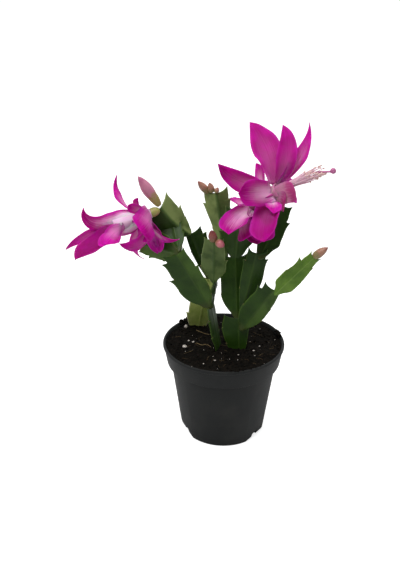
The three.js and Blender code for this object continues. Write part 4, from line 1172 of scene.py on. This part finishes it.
style_skin, tree, shader = new_material("style", 0.35, 0.5)
blush = rise(tree, grain(tree, 90, 2), 0.3, 0.7)
style_colour = blend_colours(tree, blush, paint(196, 112, 160), paint(176, 84, 136))
tree.links.new(style_colour, shader.inputs["Base Color"])
stamen_skin, tree, shader = new_material("stamens", 0.55, 0.4)
pollen_grains = rise(tree, grain(tree, 2500, 4), 0.35, 0.7)
pollen = blend_colours(tree, pollen_grains, paint(226, 180, 178), paint(246, 226, 216))
stamen_colour = blend_colours(tree, own_tone(tree), paint(242, 202, 218), pollen)
tree.links.new(stamen_colour, shader.inputs["Base Color"])
for flower in FLOWERS:
    ahead, upwards, leftwards = flower_frame(flower)
    draw = random.Random(flower["seed"] + 1)
    mouth = TUBE_START + flower["tube"]
    stigma = flower["stigma"]
    end = flower_place(flower, stigma["along"], stigma["height"], stigma["left"])
    thread = new_skin()
    bend = (mouth + stigma["along"]) / 2
    marks = [
        flower_place(flower, OVARY_LENGTH, 0, 0),
        flower_place(flower, mouth * 0.6, 0, 0),
        flower_place(flower, bend, stigma["height"] * 0.4 + stigma["arch"], stigma["left"] * 0.4),
        end,
    ]
    line = smooth_line(marks, 10)
    add_thread(thread, line, [STYLE_RADIUS - 0.1 * i / len(line) for i in range(len(line))], 10)
    for k in range(STIGMA_LOBES):
        turn = 2 * math.pi * k / STIGMA_LOBES
        lean = upwards * math.cos(turn) + leftwards * math.sin(turn)
        lobe = [
            end - ahead * 1.2 + lean * 0.3,
            end + lean * 1.0,
            end + ahead * 1.3 + lean * 0.9,
            end + ahead * 2.1,
        ]
        add_thread(thread, smooth_line(lobe, 3), LOBE_RADII, 8)
    name = flower["name"] + "_style"
    wear(skin_mesh(name, thread), style_skin, "style", name)

    stamens = flower["stamens"]
    brush = new_skin()
    for k in range(stamens["count"]):
        turn = 2 * math.pi * k / stamens["count"] * 2.4
        ring = 0.55 + 0.45 * draw.random()
        upward, sideward = math.cos(turn) * ring, math.sin(turn) * ring
        far_end = mouth + stamens["reach"] * (0.72 + 0.4 * draw.random())
        tip = flower_place(
            flower, far_end, stamens["height"] + upward * stamens["spread"] - 1.5 * draw.random(),
            stamens["left"] + sideward * stamens["spread"],
        )
        knee = mouth + stamens["reach"] * 0.4
        marks = [
            flower_place(flower, STAMENS_FROM, upward * 1.6, sideward * 1.6),
            flower_place(flower, mouth, upward * 2.0, sideward * 2.0),
            flower_place(
                flower, knee, stamens["height"] * 0.3 + upward * 2.4, stamens["left"] * 0.3 + sideward * 2.4,
            ),
            tip,
        ]
        line = smooth_line(marks, 5)
        add_thread(brush, line, [STAMEN_RADIUS] * (len(line) - 1) + [STAMEN_TIP_RADIUS], 6)
        anther = (ahead + Vector([draw.random() - 0.5 for _ in range(3)]) * 1.3).normalized()
        pod = [tip - anther * 1.0, tip - anther * 0.6, tip, tip + anther * 0.6, tip + anther * 1.0]
        add_thread(brush, pod, ANTHER_RADII, 8, 1.0)
    name = flower["name"] + "_stamens"
    wear(skin_mesh(name, brush), stamen_skin, "stamen", name)


# Buds
# Furled flowers at the segment tips: a spindle of tepals that wrap over each other in a slow turn, pink
# where they are near to opening and olive or brown at the foot.
BUD_SIDES = 36
BUD_ROWS = 34
BUD_WRAPS = 3
BUD_TURN = 120


def bud_mesh(name, start, end, radius, belly):
    """A bud from its foot to its tip, with its wrapped tepals' edges as steps that turn as they rise."""
    start, end = Vector(start), Vector(end)
    along = end - start
    length = along.length
    along.normalize()
    aside = along.orthogonal().normalized()
    other = along.cross(aside)
    skin = new_skin()
    for i in range(BUD_ROWS + 1):
        t = i / BUD_ROWS
        swell = math.sin(math.pi * min(1.0, t**belly)) ** 0.72 if 0 < t < 1 else 0
        girth = radius * max(0.05, mix(0.42 * (1 - t), 0, min(1.0, t * 3)) + swell)
        for k in range(BUD_SIDES):
            turn = 2 * math.pi * k / BUD_SIDES
            wrap = (turn / (2 * math.pi) * BUD_WRAPS + math.radians(BUD_TURN) * t / 2) % 1.0
            step = 1 + 0.1 * (wrap - 0.5) * math.sin(math.pi * t)
            offset = (aside * math.cos(turn) + other * math.sin(turn)) * girth * step
            skin["points"].append(tuple(start + along * (length * t) + offset))
            skin["form"].append((wrap, t))
    join_rings(skin, 0, BUD_ROWS + 1, BUD_SIDES)
    skin["faces"].append(tuple(reversed(range(BUD_SIDES))))
    top = BUD_ROWS * BUD_SIDES
    skin["faces"].append(tuple(range(top, top + BUD_SIDES)))
    return skin_mesh(name, skin)


def bud_material(name, foot, body, tip):
    """Bud skin: the foot's colour runs into the body's and on to the tip's, with lengthwise streaks."""
    material, tree, shader = new_material(name, 0.42, 0.5)
    across, along = place_on_blade(tree)
    cloud = grain(tree, 420, 4)
    drift = calculate(tree, "MULTIPLY", calculate(tree, "SUBTRACT", cloud, 0.5), 0.4)
    height = calculate(tree, "ADD", along, drift)
    colour = blend_colours(tree, rise(tree, height, 0.26, 0.5), foot, body)
    colour = blend_colours(tree, rise(tree, height, 0.7, 1.0), colour, tip)
    seam = calculate(tree, "MULTIPLY", rise(tree, across, 0.9, 1.0), 0.4)
    tree.links.new(blend_colours(tree, seam, colour, tip), shader.inputs["Base Color"])
    raise_surface(tree, shader, grain(tree, 2200, 3), 0.06)
    shader.inputs["Subsurface Weight"].default_value = 0.15
    shader.inputs["Subsurface Radius"].default_value = (1.0, 0.4, 0.4)
    shader.inputs["Subsurface Scale"].default_value = 1.5 * MM
    return material


buds = {
    "pink_bud": bud_material("pink bud", paint(158, 142, 78), paint(196, 124, 150), paint(170, 84, 124)),
    "red_bud": bud_material("brown-red bud", paint(126, 92, 62), paint(134, 74, 66), paint(112, 52, 56)),
    "rose_bud": bud_material("rose bud", paint(150, 104, 82), paint(190, 110, 116), paint(170, 84, 100)),
    "tan_bud": bud_material("tan bud", paint(138, 124, 80), paint(168, 124, 102), paint(150, 94, 86)),
}
# Each bud's name, foot and tip, radius, belly (how far up its widest place lies) and skin
BUDS = [
    ("rear_left_bud", (-44.8, -5.2, 179), (-58.1, -8, 199.8), 3.85, 1.05, "pink_bud"),
    ("front_left_bud_1", (-7.6, -20.6, 159.8), (-9.2, -23, 168.3), 2.9, 0.78, "red_bud"),
    ("front_left_bud_2", (-5.4, -21.4, 159.5), (-0.7, -27, 158.6), 2.6, 0.78, "rose_bud"),
    ("centre_bud_1", (-12.4, 12, 183.2), (-19.4, 8, 192.2), 2.6, 0.78, "tan_bud"),
    ("centre_bud_2", (-9.6, 10.8, 183.8), (-11.4, 9, 191), 2.3, 0.78, "tan_bud"),
    ("centre_bud_3", (-6.9, 9.2, 183.8), (-5.6, 8.4, 187.9), 1.7, 0.78, "tan_bud"),
    ("right_bud", (59.8, -16, 147.4), (68.6, -18, 155.4), 2.9, 0.78, "tan_bud"),
]
for name, start, end, radius, belly, slot_name in BUDS:
    wear(bud_mesh(name, start, end, radius, belly), buds[slot_name], slot_name, name)


# Room
# A plain white floor in soft light, in a white room that is darker on the viewer's side. The floor glows a
# little for the camera alone, so that it looks white without lighting the pot from below.
FLOOR_REACH = 14000
FLOOR_GLOW = 0.72
floor_corners = [(x * FLOOR_REACH, y * FLOOR_REACH, 0) for x, y in ((-1, -1), (1, -1), (1, 1), (-1, 1))]
floor = add_mesh("floor", floor_corners, [(0, 1, 2, 3)])
floor_white, tree, shader = new_material("white floor", 0.9, 0.0)
shader.inputs["Base Color"].default_value = (0.7, 0.7, 0.7, 1)
shader.inputs["Emission Color"].default_value = (1, 1, 1, 1)
seen = tree.nodes.new("ShaderNodeLightPath").outputs["Is Camera Ray"]
tree.links.new(calculate(tree, "MULTIPLY", seen, FLOOR_GLOW), shader.inputs["Emission Strength"])
floor.data.materials.append(floor_white)

ROOM_LIGHT = 0.34
CEILING_LIGHT = 0.2
FAR_WALL_LIGHT = 0.32
LEAST_LIGHT = 0.06
world = bpy.data.worlds.new("white room")
bpy.context.scene.world = world
world.use_nodes = True
tree = world.node_tree
direction = tree.nodes.new("ShaderNodeSeparateXYZ")
tree.links.new(tree.nodes.new("ShaderNodeTexCoord").outputs["Generated"], direction.inputs["Vector"])
backward = calculate(tree, "MULTIPLY", direction.outputs["Y"], FAR_WALL_LIGHT)
overhead = calculate(tree, "MULTIPLY", direction.outputs["Z"], CEILING_LIGHT)
glow = calculate(tree, "ADD", calculate(tree, "ADD", overhead, backward), ROOM_LIGHT)
glow = calculate(tree, "MAXIMUM", glow, LEAST_LIGHT)
seen = tree.nodes.new("ShaderNodeLightPath").outputs["Is Camera Ray"]
background = tree.nodes["Background"]
background.inputs["Color"].default_value = (1, 1, 1, 1)
tree.links.new(calculate(tree, "MAXIMUM", glow, seen), background.inputs["Strength"])

# Two large soft lamps aim at the middle of the plant: each one's name, place and width in metres, and power
LAMPS_AIM = Vector((0, 0, 0.12))
LAMPS = [
    ("key", (-0.5, -0.6, 1.25), 0.6, 9),
    ("overhead", (0.15, 0.1, 1.4), 0.9, 9),
]
for name, lamp_place, width, power in LAMPS:
    lamp = bpy.data.lights.new(name, "AREA")
    lamp.size = width
    lamp.energy = power
    holder = bpy.data.objects.new(name, lamp)
    holder.location = lamp_place
    aim = LAMPS_AIM - Vector(lamp_place)
    holder.rotation_euler = aim.to_track_quat("-Z", "Y").to_euler()
    bpy.context.scene.collection.objects.link(holder)

bpy.context.scene.view_settings.view_transform = "Standard"


# Camera
# It stands in front of the pot, looks down at it and is turned a little to the left. Its place is in metres.
CAMERA_PLACE = (0.0, -0.454624, 0.329675)
CAMERA_DOWN = math.radians(24.97)
CAMERA_YAW = math.radians(-2.21)
LENS = 44.21
camera = bpy.data.objects.new("camera", bpy.data.cameras.new("camera"))
camera.data.lens = LENS
camera.data.sensor_width = 36
camera.data.clip_start = 0.01
camera.location = CAMERA_PLACE
level = math.cos(CAMERA_DOWN)
look = Vector((math.sin(CAMERA_YAW) * level, math.cos(CAMERA_YAW) * level, -math.sin(CAMERA_DOWN)))
camera.rotation_euler = look.to_track_quat("-Z", "Y").to_euler()
bpy.context.scene.collection.objects.link(camera)
bpy.context.scene.camera = camera
